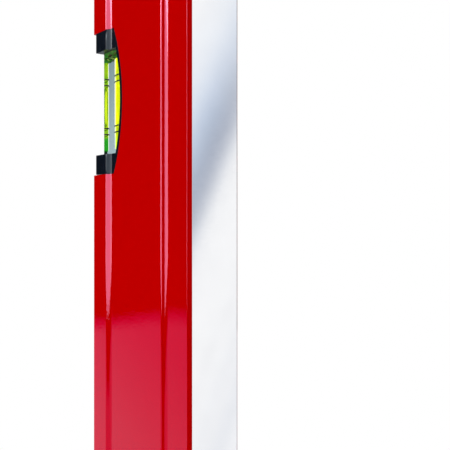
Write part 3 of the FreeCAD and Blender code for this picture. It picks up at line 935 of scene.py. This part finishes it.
    def sweep_tree(self) -> bpy.types.NodeTree:
        """Make the tree that draws a section out to a bar and takes the cutters from it.

        Returns:
            The tree.
        """
        tree, sheet, given = new_tree("Extruded_bar", {"Length": "Float", "Cutters": "Collection",
                                                       "Material": "Material"})
        section = given["Geometry"]
        reach = sheet.first("ShaderNodeCombineXYZ", {"X": given["Length"]})
        drawn = sheet.first("GeometryNodeExtrudeMesh", {
            "Mesh": section, "Offset": reach, "Offset Scale": 1.0, "Individual": False}, mode="FACES")
        joined = sheet.add("GeometryNodeJoinGeometry", {"Geometry": drawn})
        tree.links.new(sheet.first("GeometryNodeFlipFaces", {"Mesh": section}), joined.inputs[0])
        closed = {"Geometry": joined.outputs[0], "Distance": MERGE}
        tools = sheet.first("GeometryNodeCollectionInfo", {"Collection": given["Cutters"]})
        bored = sheet.first("GeometryNodeMeshBoolean", {
            "Mesh 1": sheet.first("GeometryNodeMergeByDistance", closed),
            "Mesh 2": sheet.first("GeometryNodeRealizeInstances", {"Geometry": tools}),
            "Self Intersection": True}, operation="DIFFERENCE", solver="EXACT")
        end_tree(sheet, bored, given["Material"])
        return tree

    def build(self, finishes: Finishes) -> bpy.types.Object:
        """Build the extrusion with its paint, milled face and bare insides.

        Args:
            finishes: The finishes.

        Returns:
            The extrusion.
        """
        shape = bmesh.new()
        points = [spot(Axis.X, -self.half_length, *point) for point in self.section().closed()]
        shape.faces.new([shape.verts.new(point) for point in points])
        start = tidy_mesh(shape, "profile_section")
        if start.polygons[0].normal.x < 0:
            start.polygons[0].flip()
        bar = add_object("painted_extrusion", start)
        tools = bpy.data.collections.new("cutters")
        for mesh in self.cutters():
            tools.objects.link(bpy.data.objects.new(mesh.name, mesh))
        give_tree(bar, self.sweep_tree(), {"Length": self.half_length * 2, "Cutters": tools,
                                           "Material": finishes.paint})
        settle(bar)
        for tool in list(tools.objects):
            bpy.data.objects.remove(tool)
        bpy.data.collections.remove(tools)
        soften_edges(bar, self.edge, angle=50.0)
        self.share_finishes(bar, finishes)
        smooth(bar)
        return dress(bar, finishes.paint, "red_powder_coat", Body.LEVEL, "profile")

    def share_finishes(self, bar: bpy.types.Object, finishes: Finishes) -> None:
        """Give the milled face, the cells and the bores their own materials.

        Args:
            bar: The extrusion.
            finishes: The finishes.
        """
        materials = bar.data.materials
        materials.clear()
        for material in (finishes.paint, finishes.milled, finishes.bare):
            materials.append(material)
        milled_slope = math.cos(self.milled_lean)
        for face in bar.data.polygons:
            middle, normal = face.center, face.normal
            face.material_index = 0
            if middle.z < self.milled_arris and -normal.z > milled_slope:
                face.material_index = 1
            elif middle.z > self.milled_arris and self.inside(middle, normal):
                face.material_index = 2

    def inside(self, middle: Vector, normal: Vector) -> bool:
        """Tell whether a face lies on a sawn end, in a cell or in a magnet's bore.

        Args:
            middle: The face's middle.
            normal: The face's normal.

        Returns:
            Whether it does.
        """
        if abs(middle.x) > self.half_length - self.edge:
            return True
        if middle.z < self.bore_depth + self.edge and abs(middle.y) < self.bore_radius + self.edge:
            return True
        half = self.foot_cell_half if middle.z < self.lower_rib[0] + self.edge else self.cell_half
        between = self.sole - self.edge < middle.z < self.height - self.edge
        faces_aside = abs(normal.x) < 0.5
        return between and faces_aside and abs(middle.y) < half + self.edge


def rod(low: float, high: float, radius: float) -> list[Span]:
    """Return the line that turns into a rod."""
    return [(low, 0.0), (low, radius), (high, radius), (high, 0.0)]


def new_tree(name: str, kinds: dict[str, str]) -> tuple[bpy.types.NodeTree, NodeSheet, Any]:
    """Make a node tree that changes a mesh.

    Args:
        name: The tree's name.
        kinds: The kind of each named input that it has beside the mesh.

    Returns:
        The tree, the sheet that its nodes are written on, and the sockets of its inputs.
    """
    tree = bpy.data.node_groups.new(name, "GeometryNodeTree")
    for socket, kind in {"Geometry": "Geometry", **kinds}.items():
        tree.interface.new_socket(socket, in_out="INPUT", socket_type=f"NodeSocket{kind}")
    tree.interface.new_socket("Geometry", in_out="OUTPUT", socket_type="NodeSocketGeometry")
    sheet = NodeSheet(tree)
    return tree, sheet, sheet.add("NodeGroupInput").outputs


def end_tree(sheet: NodeSheet, geometry: Socket, material: Socket) -> None:
    """End a node tree with a plain mesh of one material.

    Args:
        sheet: The tree's sheet.
        geometry: What the tree has made.
        material: The material.
    """
    plain = sheet.first("GeometryNodeRealizeInstances", {"Geometry": geometry})
    dressed = sheet.first("GeometryNodeSetMaterial", {"Geometry": plain, "Material": material})
    sheet.add("NodeGroupOutput", {"Geometry": dressed})


def give_tree(piece: bpy.types.Object, tree: bpy.types.NodeTree, values: dict[str, Any]) -> None:
    """Run a node tree on a piece.

    Args:
        piece: The piece.
        tree: The tree.
        values: The value of each named input.
    """
    change = piece.modifiers.new(tree.name, "NODES")
    change.node_group = tree
    for item in tree.interface.items_tree:
        if item.item_type == "SOCKET" and item.in_out == "INPUT" and item.name in values:
            change[item.identifier] = values[item.name]


@dataclass
class VialCradle:
    """The black moulding that holds the block vial: two end blocks, arched rims, socket and legs."""

    bar: Extrusion
    fit: float = 0.05 * MM
    drop: float = 1.6 * MM
    block_length: float = 7.5 * MM
    corner: float = 0.8 * MM
    rim: float = 1.65 * MM
    rim_steps: int = 48
    reach: float = 22.7 * MM
    socket_top: float = 57.75 * MM
    leg_half: float = 9.3 * MM
    edge: float = 0.16 * MM

    def front(self) -> Outline:
        """Draw the outline seen from the front.

        Returns:
            The outline.
        """
        bar = self.bar
        half = bar.cutout_half - self.fit
        inner = half - self.block_length
        shoulder = bar.cutout_shoulder + self.fit
        top = bar.height - self.drop
        outer = arc_radius(bar.cutout_half, bar.cutout_sagitta)
        inside = outer - self.rim
        middle = bar.cutout_shoulder - bar.cutout_sagitta + outer
        inner_end = middle - math.sqrt(inside * inside - inner * inner)
        outline = Outline().go(half, shoulder).go(half, top, self.corner).go(inner, top, self.corner)
        outline.go(inner, inner_end).bend(-inner, inner_end, inside, -1, self.rim_steps)
        outline.go(-inner, top, self.corner).go(-half, top, self.corner).go(-half, shoulder)
        outline.bend(half, shoulder, arc_radius(half, bar.cutout_sagitta), 1, ARCH_STEPS)
        outline.points.pop()
        return outline

    def flank(self) -> Outline:
        """Return the outline seen from the end, which follows the extrusion's section."""
        low = self.bar.cutout_shoulder - self.bar.cutout_sagitta - self.rim
        return Outline().mirrored(self.bar.side(self.fit, low, self.bar.height - self.drop))

    def build(self, finishes: Finishes) -> bpy.types.Object:
        """Build the cradle.

        Args:
            finishes: The finishes.

        Returns:
            The cradle.
        """
        bar = self.bar
        through, beyond = bar.flange + MM, bar.cutout_half + MM
        piece = add_object("moulded_cradle", prism("cradle", self.front(), Axis.Y, -through, through))
        combine(piece, prism("flank", self.flank(), Axis.X, -beyond, beyond), Cut.SHARE)
        socket = box_outline(-self.reach, -bar.cell_half, self.reach, bar.cell_half)
        combine(piece, prism("socket", socket, Axis.Z, -MM, self.socket_top), Cut.TAKE)
        half = bar.cutout_half - self.fit
        for left, right in ((self.reach, half), (-half, -self.reach)):
            leg = box_outline(left, -self.leg_half, right, self.leg_half)
            combine(piece, prism("leg", leg, Axis.Z, bar.upper_rib[1], bar.flange_low), Cut.JOIN)
        soften_edges(piece, self.edge, angle=40.0)
        smooth(piece)
        return dress(piece, finishes.plastic, "black_plastic", Body.LEVEL, "vial_cradle")


def lump(place: Vector) -> float:
    """Return the unevenness of set potting compound at a place, as coarse lumps and finer ones."""
    return noise_at(place * LUMP_SCALE) + 0.5 * noise_at(place * FINE_LUMP_SCALE)


@dataclass
class BlockVial:
    """The acrylic block with its liquid, bubble, rings and plug."""

    half_length: float = 22.65 * MM
    half_width: float = 9.6 * MM
    low: float = 40.2 * MM
    high: float = 57.9 * MM
    edge: float = 0.3 * MM
    chamber_height: float = 50.1 * MM
    chamber_half: float = 17.23 * MM
    liquid_radius: float = 4.8 * MM
    sagitta: float = 0.05 * MM
    barrel_steps: int = 24
    ring_outer: float = 4.93 * MM
    ring_thickness: float = 0.12 * MM
    ring_width: float = 0.5 * MM
    ring_pitch: float = 2.4 * MM
    ring_gap: float = 16.8 * MM
    plug_radius: float = 4.18 * MM
    head_low: float = 18.7 * MM
    head_swell: float = 1.1 * MM
    head_steps: int = 40
    gap: float = 0.02 * MM
    tube_half: float = 13.0 * MM
    tube_plug_radius: float = 4.28 * MM
    tube_plug_length: float = 3.0 * MM
    tube_ring_pitch: float = 6.6 * MM
    bubble_half: float = 7.8 * MM
    bubble_radius: float = 4.66 * MM
    bubble_floor: float = 1.9 * MM
    bubble_rows: int = 14
    bubble_squareness: float = 0.8
    rim_power: float = 5.0

    @property
    def middle(self) -> Vector:
        """The middle of the chamber."""
        return Vector((0.0, 0.0, self.chamber_height))

    def build_block(self, finishes: Finishes) -> bpy.types.Object:
        """Build the clear block's outer skin, which the liquid lies in.

        Args:
            finishes: The finishes.

        Returns:
            The block.
        """
        section = box_outline(-self.half_width, self.low, self.half_width, self.high, self.edge)
        block = prism("clear_block", section, Axis.X, -self.half_length, self.half_length)
        piece = add_object("clear_block", block)
        smooth(piece, angle=50.0)
        return dress(piece, finishes.acrylic, "clear_acrylic", Body.LEVEL, "vial_block")

    def build_liquid(self, finishes: Finishes) -> bpy.types.Object:
        """Build the liquid, as a barrel that is widest in the middle.

        Args:
            finishes: The finishes.

        Returns:
            The liquid.
        """
        shares = [2 * step / self.barrel_steps - 1 for step in range(self.barrel_steps + 1)]
        barrel = [(share * self.chamber_half, self.liquid_radius - self.sagitta * share * share)
                  for share in shares]
        line = [(-self.chamber_half, 0.0), *barrel, (self.chamber_half, 0.0)]
        piece = add_object("vial_fluid", turned("vial_fluid", line, Axis.X, self.middle))
        smooth(piece)
        return dress(piece, finishes.liquid, "vial_liquid", Body.LEVEL, "vial_liquid")

    def build_bubble(self, finishes: Finishes) -> bpy.types.Object:
        """Build the bubble: its crown follows the chamber and its underside is flat with a round rim.

        Args:
            finishes: The finishes.

        Returns:
            The bubble.
        """
        steps = ROUND_STEPS
        rim_half = math.sqrt(self.bubble_radius ** 2 - self.bubble_floor ** 2)
        shape = bmesh.new()
        crown, under = [], []
        for row in range(self.bubble_rows + 1):
            share = math.sin(row / self.bubble_rows * math.pi / 2)
            row_high, row_low = [], []
            for step in range(steps):
                angle = 2 * math.pi * step / steps
                swell = math.copysign(abs(math.cos(angle)) ** self.bubble_squareness, math.cos(angle))
                along, across = swell * self.bubble_half, math.sin(angle) * rim_half
                roof = math.sqrt(self.bubble_radius ** 2 - (share * across) ** 2)
                meet = math.sqrt(self.bubble_radius ** 2 - across ** 2)
                drop = (roof - self.bubble_floor) * 0.5 * share ** (self.rim_power * 2)
                floor = self.bubble_floor + (meet - self.bubble_floor) * 0.5 * share ** self.rim_power
                for line, up in ((row_high, roof - drop), (row_low, floor)):
                    line.append(shape.verts.new((share * along, share * across, self.chamber_height + up)))
            crown.append(row_high)
            under.append(row_low)
        for rows in (crown, under):
            for one, two in zip(rows, rows[1:]):
                for step in range(steps):
                    after = (step + 1) % steps
                    if one is rows[0]:
                        shape.faces.new((one[0], two[step], two[after]))
                    else:
                        shape.faces.new((one[step], one[after], two[after], two[step]))
        for step in range(steps):
            after = (step + 1) % steps
            shape.faces.new((crown[-1][step], crown[-1][after], under[-1][after], under[-1][step]))
        for vert in [vert for vert in shape.verts if not vert.link_faces]:
            shape.verts.remove(vert)
        piece = add_object("vial_gas", tidy_mesh(shape, "vial_gas"))
        smooth(piece, angle=60.0)
        return dress(piece, finishes.gas, "bubble_gas", Body.VIAL_BUBBLE, "vial_bubble")

    def plug_head(self, high: float) -> bpy.types.Mesh:
        """Return the plug's head, a block of potting compound whose inner face is uneven.

        Args:
            high: The place of its outer face.

        Returns:
            The closed mesh.
        """
        steps = self.head_steps
        wide = self.half_width - self.edge
        low, top = self.low + self.edge, self.high - self.edge
        shape = bmesh.new()
        rows = []
        for row in range(steps + 1):
            up = low + (top - low) * row / steps
            places = [Vector((0.0, wide * (2 * step / steps - 1), up)) for step in range(steps + 1)]
            for place in places:
                place.x = self.head_low + self.head_swell * lump(place)
            rows.append([shape.verts.new(place) for place in places])
        for one, two in zip(rows, rows[1:]):
            for step in range(steps):
                shape.faces.new((one[step], two[step], two[step + 1], one[step + 1]))
        rim = bmesh.ops.extrude_face_region(shape, geom=list(shape.faces))["geom"]
        for part in rim:
            if isinstance(part, bmesh.types.BMVert):
                part.co.x = high
        return tidy_mesh(shape, "plug_head")

    def build_plugs(self, bar: Extrusion, finishes: Finishes) -> list[bpy.types.Object]:
        """Build the plug of the block, whose head fills the block's end, and the plugs of the plumb tubes.

        Args:
            bar: The extrusion that holds the tubes.
            finishes: The finishes.

        Returns:
            The plugs.
        """
        low, high = self.chamber_half + self.gap, self.half_length - self.gap
        line = rod(low, high, self.plug_radius)
        block_plug = add_object("block_plug", turned("block_plug", line, Axis.X, self.middle, ROUND_STEPS))
        combine(block_plug, self.plug_head(high), Cut.JOIN)
        pieces = [block_plug]
        for name, side in (("left", -1), ("right", 1)):
            foot = Vector((bar.window_place * side, 0.0, bar.window_middle - self.tube_half))
            line = rod(0.0, self.tube_plug_length, self.tube_plug_radius)
            plug = turned("plumb_plug", line, Axis.Z, foot, ROUND_STEPS)
            pieces.append(add_object(f"{name}_plumb_plug", plug))
        for piece in pieces:
            smooth(piece)
            dress(piece, finishes.plug, "green_plug", Body.LEVEL, "vial_plugs")
        return pieces


@dataclass
class RingSet:
    """Thin rings in a vial, in evenly spaced groups along its axis."""

    name: str
    middle: Vector
    axis: Axis
    outer: float
    thickness: float
    width: float
    pitch: float
    groups: int = 1
    group_pitch: float = 0.0

    @staticmethod
    def tree() -> bpy.types.NodeTree:
        """Make the tree that sets copies of a ring in groups along X and turns them to the vial's axis.

        Returns:
            The tree.
        """
        tree, sheet, given = new_tree("Graduation_rings", {
            "Pitch": "Float", "Groups": "Int", "Group pitch": "Float", "Turn": "Rotation",
            "Middle": "Vector", "Material": "Material"})

        def row_of(shape: Socket, count: Any, pitch: Socket) -> Socket:
            """Set copies of a shape in a row along X that is centred on the origin.

            Args:
                shape: The shape.
                count: How many copies.
                pitch: The distance from one to the next.

            Returns:
                The copies.
            """
            span = sheet.reckon("MULTIPLY", sheet.reckon("SUBTRACT", count, 1.0), pitch)
            start = sheet.first("ShaderNodeCombineXYZ", {"X": sheet.reckon("MULTIPLY", span, -0.5)})
            step = sheet.first("ShaderNodeCombineXYZ", {"X": pitch})
            row = sheet.first("GeometryNodeMeshLine", {
                "Count": count, "Start Location": start, "Offset": step})
            return sheet.first("GeometryNodeInstanceOnPoints", {"Points": row, "Instance": shape})

        pair = row_of(given["Geometry"], 2, given["Pitch"])
        every = row_of(pair, given["Groups"], given["Group pitch"])
        moved = sheet.first("GeometryNodeTransform", {
            "Geometry": every, "Translation": given["Middle"], "Rotation": given["Turn"]})
        end_tree(sheet, moved, given["Material"])
        return tree

    def build(self, tree: bpy.types.NodeTree, finishes: Finishes) -> bpy.types.Object:
        """Build the rings.

        Args:
            tree: The tree that sets them in their places.
            finishes: The finishes.

        Returns:
            The rings.
        """
        half = self.width / 2
        inner = self.outer - self.thickness
        line = [(-half, inner), (half, inner), (half, self.outer), (-half, self.outer)]
        ring = turned(self.name, line, Axis.X, Vector(), ROUND_STEPS)
        ring.materials.append(finishes.ring)
        piece = add_object(self.name, ring)
        turn = (0.0, -math.pi / 2, 0.0) if self.axis is Axis.Z else (0.0, 0.0, 0.0)
        give_tree(piece, tree, {"Pitch": self.pitch, "Groups": self.groups, "Group pitch": self.group_pitch,
                                "Turn": turn, "Middle": tuple(self.middle), "Material": finishes.ring})
        settle(piece)
        smooth(piece)
        return dress(piece, finishes.ring, "black_ring", Body.LEVEL, "vial_rings")


@dataclass(frozen=True)
class PaleFloor(Finish):
    """Pale paper that can't be seen from underneath."""

    name: str = "pale_floor"
    first: Colour = (0.94, 0.94, 0.94)
    last: Colour = (0.97, 0.97, 0.97)
    cloud_scale: float = 40.0

    def write(self, sheet: NodeSheet) -> None:
        """Write the paper, clear from its back.

        Args:
            sheet: The sheet to write on.
        """
        paper = sheet.tones(sheet.noise(sheet.point(), self.cloud_scale), self.first, self.last)
        top = sheet.first("ShaderNodeBsdfDiffuse", {"Color": paper})
        clear = sheet.first("ShaderNodeBsdfTransparent")
        facing = sheet.add("ShaderNodeNewGeometry").outputs["Backfacing"]
        both = sheet.first("ShaderNodeMixShader", {0: facing, 1: top, 2: clear})
        sheet.add("ShaderNodeOutputMaterial", {"Surface": both})


@dataclass(frozen=True)
class Glow(Finish):
    """The light of an evenly lit card."""

    colour: Colour
    strength: float = 1.0

    def write(self, sheet: NodeSheet) -> None:
        """Write the light on a sheet."""
        sheet.shine((*self.colour, 1.0), self.strength)


@dataclass(frozen=True)
class FadingGlow(Finish):
    """The light of a card that turns from one colour to another over a span along a heading."""

    first: Colour
    last: Colour
    heading: tuple[float, float, float]
    span: Span

    def write(self, sheet: NodeSheet) -> None:
        """Write the light on a sheet."""
        share = sheet.share(sheet.reach(sheet.point(), self.heading), *self.span)
        sheet.shine(sheet.tones(share, self.first, self.last))


@dataclass(frozen=True)
class BandGlow(Finish):
    """The light of the card that draws the slanting blue-grey band on the milled face."""

    name: str = "grey_band"
    middle: Span = (0.058, 0.384)
    heading: Span = (0.895, 0.445)
    half_length: float = 0.5
    fade: float = 0.33
    fade_span: Span = (0.03, 0.13)
    stops: tuple[tuple[float, Colour], ...] = (
        (-0.090, (0.96, 0.97, 0.985)), (-0.055, (0.85, 0.89, 0.95)), (-0.040, (0.72, 0.79, 0.90)),
        (-0.025, (0.57, 0.65, 0.79)), (-0.010, (0.45, 0.52, 0.64)), (0.002, (0.39, 0.43, 0.53)),
        (0.012, (0.44, 0.48, 0.57)), (0.022, (0.57, 0.60, 0.67)), (0.030, (0.80, 0.82, 0.86)),
        (0.038, (0.985, 0.985, 0.99)), (0.050, (1.0, 1.0, 1.0)), (0.100, (1.0, 1.0, 1.0)),
        (0.112, (0.94, 0.94, 0.95)), (0.126, (1.0, 1.0, 1.0)), (0.143, (0.91, 0.92, 0.94)),
        (0.157, (0.95, 0.95, 0.96)), (0.178, (0.85, 0.87, 0.91)), (0.200, (0.98, 0.98, 0.99)))

    @property
    def axes(self) -> tuple[Vector, Vector]:
        """The directions along and across the band."""
        return Vector((*self.heading, 0.0)), Vector((-self.heading[1], self.heading[0], 0.0))

    def outline(self) -> list[Span]:
        """Draw the card, seen from above.

        Returns:
            Its corners in order.
        """
        near, far = self.stops[0][0], self.stops[-1][0]
        along, across = self.axes
        return [tuple(Vector(self.middle) + along.xy * reach + across.xy * offset)
                for reach, offset in rectangle(-self.half_length, near, self.half_length, far)]

    def write(self, sheet: NodeSheet) -> None:
        """Write the light, whose colours follow the stops across the band and fade along it.

        Args:
            sheet: The sheet to write on.
        """
        near, far = self.stops[0][0], self.stops[-1][0]
        place, (along, across) = sheet.point(), self.axes
        middle = Vector((*self.middle, 0.0))
        begin = middle.dot(across)
        share = sheet.share(sheet.reach(place, across), near + begin, far + begin)
        ramp = sheet.add("ShaderNodeValToRGB", {"Fac": share})
        elements = ramp.color_ramp.elements
        for element, (at, colour) in zip(elements, (self.stops[0], self.stops[-1])):
            element.position, element.color = (at - near) / (far - near), (*colour, 1.0)
        for at, colour in self.stops[1:-1]:
            elements.new((at - near) / (far - near)).color = (*colour, 1.0)
        span = [middle.dot(along) + reach for reach in self.fade_span]
        fade = sheet.spread(sheet.reach(place, along), 0.0, self.fade, *span)
        sheet.shine(sheet.tones(fade, ramp.outputs["Color"], (1.0, 1.0, 1.0)))


@dataclass(frozen=True)
class Lamp:
    """A broad square lamp that faces the level."""

    name: str
    place: tuple[float, float, float]
    size: float
    share: float

    def build(self) -> None:
        """Hang the lamp, with a power that lights the level by its share."""
        place = Vector(self.place)
        lamp = bpy.data.lights.new(self.name, "AREA")
        lamp.shape = "SQUARE"
        lamp.size = self.size
        lamp.energy = self.share * place.length_squared * math.pi ** 2
        piece = bpy.data.objects.new(self.name, lamp)
        piece.matrix_world = Matrix.Translation(place) @ place.to_track_quat("Z", "Y").to_matrix().to_4x4()
        piece.visible_glossy = False
        piece.visible_transmission = False
        bpy.context.scene.collection.objects.link(piece)


@dataclass
class Studio:
    """The camera, floor, lamps and reflected cards round the level.

    The walls' and strips' low and high ends hold a value for the photographed side and one for the far
    side. The lamp strip's left edge holds the places of its lower and its upper corner.
    """

    camera_place: tuple[float, float, float] = (-0.0463, -0.1402, -0.1815)
    camera_clip: Span = (0.01, 50.0)
    view_tilt: float = 51.5
    focal_share: float = 695.49 / 450.0
    sensor: float = 36.0
    ambient: float = 0.74
    floor_level: float = -0.4 * MM
    floor_half: float = 4.0
    wall_place: float = 1.05
    wall_half: float = 5.0
    wall_low: Span = (-4.0, 0.02)
    wall_top: float = 6.0
    haze_low: float = -1.4
    pale_place: float = 1.0
    pale_left: float = -4.0
    pale_span: Span = (0.11, 4.0)
    pale_edge: tuple[Span, ...] = (
        (-0.497, 4.0), (-0.393, 1.90), (-0.319, 1.47), (-0.300, 0.55), (-0.384, 0.11))
    border_width: float = 0.026
    border_lift: float = 0.005
    strip_place: float = 0.98
    strip_low: Span = (0.18, 1.5)
    strip_high: Span = (1.24, 2.6)
    strip_left: Span = (-0.20, -0.13)
    strip_middle: float = 0.37
    strip_right: float = 0.56
    low_card_level: float = -0.5
    grey_outline: tuple[Span, ...] = ((-0.8, 0.12), (1.2, 0.12), (2.5, 2.6), (-2.0, 2.6))
    dark: Glow = Glow("dark_wall", (0.0, 0.0, 0.0), 0.0)
    strip: Glow = Glow("lamp_strip", (1.0, 0.95, 0.95), 2.9)
    bright: Glow = Glow("bright_strip", (1.0, 0.97, 0.97), 8.0)
    rear: Glow = Glow("rear_card", (0.40, 0.42, 0.46))
    border: Glow = Glow("pale_border", (0.62, 0.01, 0.22))
    pale: FadingGlow = FadingGlow(
        "pale_card", (0.87, 0.16, 0.40), (0.83, 0.40, 0.56), heading=(-2.5, 0.0, 0.75), span=(2.1, 3.1))
    haze: FadingGlow = FadingGlow(
        "low_haze", (0.26, 0.27, 0.29), (0.95, 0.95, 0.96), heading=(0.0, 0.0, 1.0), span=(-0.25, -1.2))
    grey: FadingGlow = FadingGlow(
        "grey_card", (0.47, 0.61, 0.66), (0.27, 0.38, 0.41), heading=(1.0, 0.0, 0.0), span=(0.04, 0.17))
    band: BandGlow = BandGlow()
    lamps: tuple[Lamp, ...] = (
        Lamp("key", (-0.9, -1.6, 1.7), size=1.2, share=0.30),
        Lamp("fill", (0.8, -1.2, -1.3), size=1.4, share=0.18))

    def build_camera(self) -> None:
        """Set the camera where the long edges and the cut-out's ends put it."""
        lens = bpy.data.cameras.new("camera")
        lens.sensor_width = self.sensor
        lens.lens = self.focal_share * self.sensor
        lens.clip_start, lens.clip_end = self.camera_clip
        camera = bpy.data.objects.new("camera", lens)
        tilt = math.radians(self.view_tilt)
        right, up = Vector((0.0, math.sin(tilt), -math.cos(tilt))), Vector((1.0, 0.0, 0.0))
        turn = Matrix((right, up, right.cross(up))).transposed().to_4x4()
        camera.matrix_world = Matrix.Translation(self.camera_place) @ turn
        bpy.context.scene.collection.objects.link(camera)
        bpy.context.scene.camera = camera

    def build_world(self) -> None:
        """Make the surroundings white to the eye, to mirrors and through glass, and a plain light."""
        world = bpy.data.worlds.new("studio")
        world.use_nodes = True
        world.node_tree.nodes.clear()
        sheet = NodeSheet(world.node_tree)
        path = sheet.add("ShaderNodeLightPath").outputs
        seen = path["Is Camera Ray"]
        for name in ("Is Glossy Ray", "Is Transmission Ray"):
            seen = sheet.reckon("MAXIMUM", seen, path[name])
        strength = sheet.spread(seen, self.ambient, 1.0)
        sky = sheet.first("ShaderNodeBackground", {"Color": (1.0, 1.0, 1.0, 1.0), "Strength": strength})
        sheet.add("ShaderNodeOutputWorld", {"Surface": sky})
        bpy.context.scene.world = world

    def card(self, name: str, axis: Axis, place: float, outline: Any, material: bpy.types.Material,
             glossy: bool = True, transmission: bool = False, seen: bool = False) -> None:
        """Hang a flat card in the studio.

        Args:
            name: The card's name.
            axis: The axis that it faces along.
            place: Its place along that axis.
            outline: Its corners across the axis, in order.
            material: Its material.
            glossy: Whether mirrors show it.
            transmission: Whether it shows through glass.
            seen: Whether the eye sees it and it bounces light.
        """
        mesh = bpy.data.meshes.new(name)
        corners = [spot(axis, place, *corner) for corner in outline]
        mesh.from_pydata(corners, [], [tuple(range(len(corners)))])
        mesh.materials.append(material)
        piece = add_object(name, mesh)
        piece.visible_camera = seen
        piece.visible_diffuse = seen
        piece.visible_shadow = False
        piece.visible_glossy = glossy
        piece.visible_transmission = transmission

    def build_floor(self) -> None:
        """Lay a pale floor that holds the shadow and can't be seen from underneath."""
        outline = rectangle(-self.floor_half, -self.floor_half, self.floor_half, self.floor_half)
        self.card("floor", Axis.Z, self.floor_level, outline, PaleFloor().material(),
                  glossy=False, seen=True)

    def build_walls(self) -> None:
        """Hang the dark walls, pale cards and lamp strips that both coated sides reflect."""
        dark, pale, strip = (glow.material() for glow in (self.dark, self.pale, self.strip))
        bright, rear, border = (glow.material() for glow in (self.bright, self.rear, self.border))
        pale_low, pale_high = self.pale_span
        for at, side, inner, outer in ((0, -1.0, pale, border), (1, 1.0, rear, rear)):
            wall = rectangle(-self.wall_half, self.wall_low[at], self.wall_half, self.wall_top)
            self.card("dark_wall", Axis.Y, side * self.wall_place, wall, dark)
            for shift, lift, material in ((0.0, 0.0, inner), (self.border_width, self.border_lift, outer)):
                edge = [(across + shift, up) for across, up in self.pale_edge]
                outline = [(self.pale_left, pale_high), *edge, (self.pale_left, pale_low)]
                self.card("pale_card", Axis.Y, side * (self.pale_place + lift), outline, material)
            low, high, middle = self.strip_low[at], self.strip_high[at], self.strip_middle
            outline = [(self.strip_left[0], low), (middle, low), (middle, high), (self.strip_left[1], high)]
            self.card("lamp_strip", Axis.Y, side * self.strip_place, outline, strip)
            outline = rectangle(middle, low, self.strip_right, high)
            self.card("bright_strip", Axis.Y, side * self.strip_place, outline, bright)

    def build_low_cards(self) -> None:
        """Hang the cards under and behind the level that the milled face and the vial show."""
        self.card("grey_band", Axis.Z, self.low_card_level, self.band.outline(), self.band.material())
        outline = rectangle(-self.wall_half, self.haze_low, self.wall_half, self.wall_low[1])
        self.card("low_haze", Axis.Y, self.wall_place, outline, self.haze.material())
        self.card("grey_card", Axis.Z, self.low_card_level, self.grey_outline, self.grey.material(),
                  glossy=False, transmission=True)

    def build(self) -> None:
        """Build the whole studio."""
        self.build_camera()
        self.build_world()
        self.build_floor()
        self.build_walls()
        self.build_low_cards()
        for lamp in self.lamps:
            lamp.build()
        bpy.context.scene.view_settings.view_transform = "Standard"


@dataclass
class EndTrim:
    """The pieces at both ends and in the sole: caps, shock pads, window frames and magnets."""

    cap_edge: float = 0.45 * MM
    pad_edge: float = 0.6 * MM
    frame_edge: float = 0.28 * MM
    cup_edge: float = 0.15 * MM
    flat_angle: float = math.radians(0.5)

    def soft_copy(self, node: str, width: float, material: bpy.types.Material,
                  slot: str) -> bpy.types.Object:
        """Stand a copy of a node with rounded edges in its place.

        Args:
            node: The node.
            width: How far each sharp edge is rounded.
            material: The copy's material.
            slot: The slot of its finish.

        Returns:
            The copy.
        """
        shape = bmesh.new()
        shape.from_mesh(frame["nodes"][node].data)
        bmesh.ops.remove_doubles(shape, verts=shape.verts, dist=MERGE)
        bmesh.ops.dissolve_limit(shape, angle_limit=self.flat_angle, verts=shape.verts, edges=shape.edges)
        piece = add_object(f"soft_{node}", tidy_mesh(shape, f"soft_{node}"))
        soften_edges(piece, width, steps=3, angle=40.0)
        smooth(piece)
        return dress(piece, material, slot, Body.LEVEL, node)

    def build(self, finishes: Finishes) -> list[bpy.types.Object]:
        """Build the soft-edged pieces, and dress the clear nodes that keep their own shape.

        Args:
            finishes: The finishes.

        Returns:
            The soft-edged pieces.
        """
        pieces = [self.soft_copy("magnet_cups", self.cup_edge, finishes.steel, "magnet_steel"),
                  self.soft_copy("magnet_discs", self.cup_edge, finishes.magnet, "magnet_disc")]
        for side in ("left", "right"):
            for node, width, material, slot in (
                    ("end_cap", self.cap_edge, finishes.plastic, "black_plastic"),
                    ("end_pad", self.pad_edge, finishes.rubber, "black_rubber"),
                    ("plumb_frame", self.frame_edge, finishes.plastic, "black_plastic")):
                pieces.append(self.soft_copy(f"{side}_{node}", width, material, slot))
            dress_node(f"{side}_plumb_tube", finishes.acrylic)
            dress_node(f"{side}_plumb_liquid", finishes.plumb_liquid)
            dress_node(f"{side}_plumb_bubble", finishes.gas)
        return pieces


def main() -> None:
    """Build the studio and every piece of the level."""
    logging.basicConfig(level=logging.INFO, format="%(name)s: %(message)s")
    Studio().build()
    finishes = Finishes()
    bar = Extrusion()
    pieces = [bar.build(finishes), VialCradle(bar).build(finishes)]
    vial = BlockVial()
    pieces += [vial.build_block(finishes), vial.build_liquid(finishes), vial.build_bubble(finishes)]
    pieces += vial.build_plugs(bar, finishes)
    tree = RingSet.tree()
    rings = RingSet("block_rings", vial.middle, Axis.X, vial.ring_outer, vial.ring_thickness,
                    vial.ring_width, vial.ring_pitch, groups=2, group_pitch=vial.ring_gap + vial.ring_pitch)
    pieces.append(rings.build(tree, finishes))
    for name, side in (("left", -1), ("right", 1)):
        middle = Vector((bar.window_place * side, 0.0, bar.window_middle))
        plumb = RingSet(f"{name}_plumb_rings", middle, Axis.Z, vial.tube_plug_radius, vial.ring_thickness,
                        vial.ring_width, vial.tube_ring_pitch)
        pieces.append(plumb.build(tree, finishes))
    pieces += EndTrim().build(finishes)
    for piece in pieces:
        LOG.info("%s: %d faces", piece.name, len(piece.data.polygons))


if __name__ == "__main__":
    main()
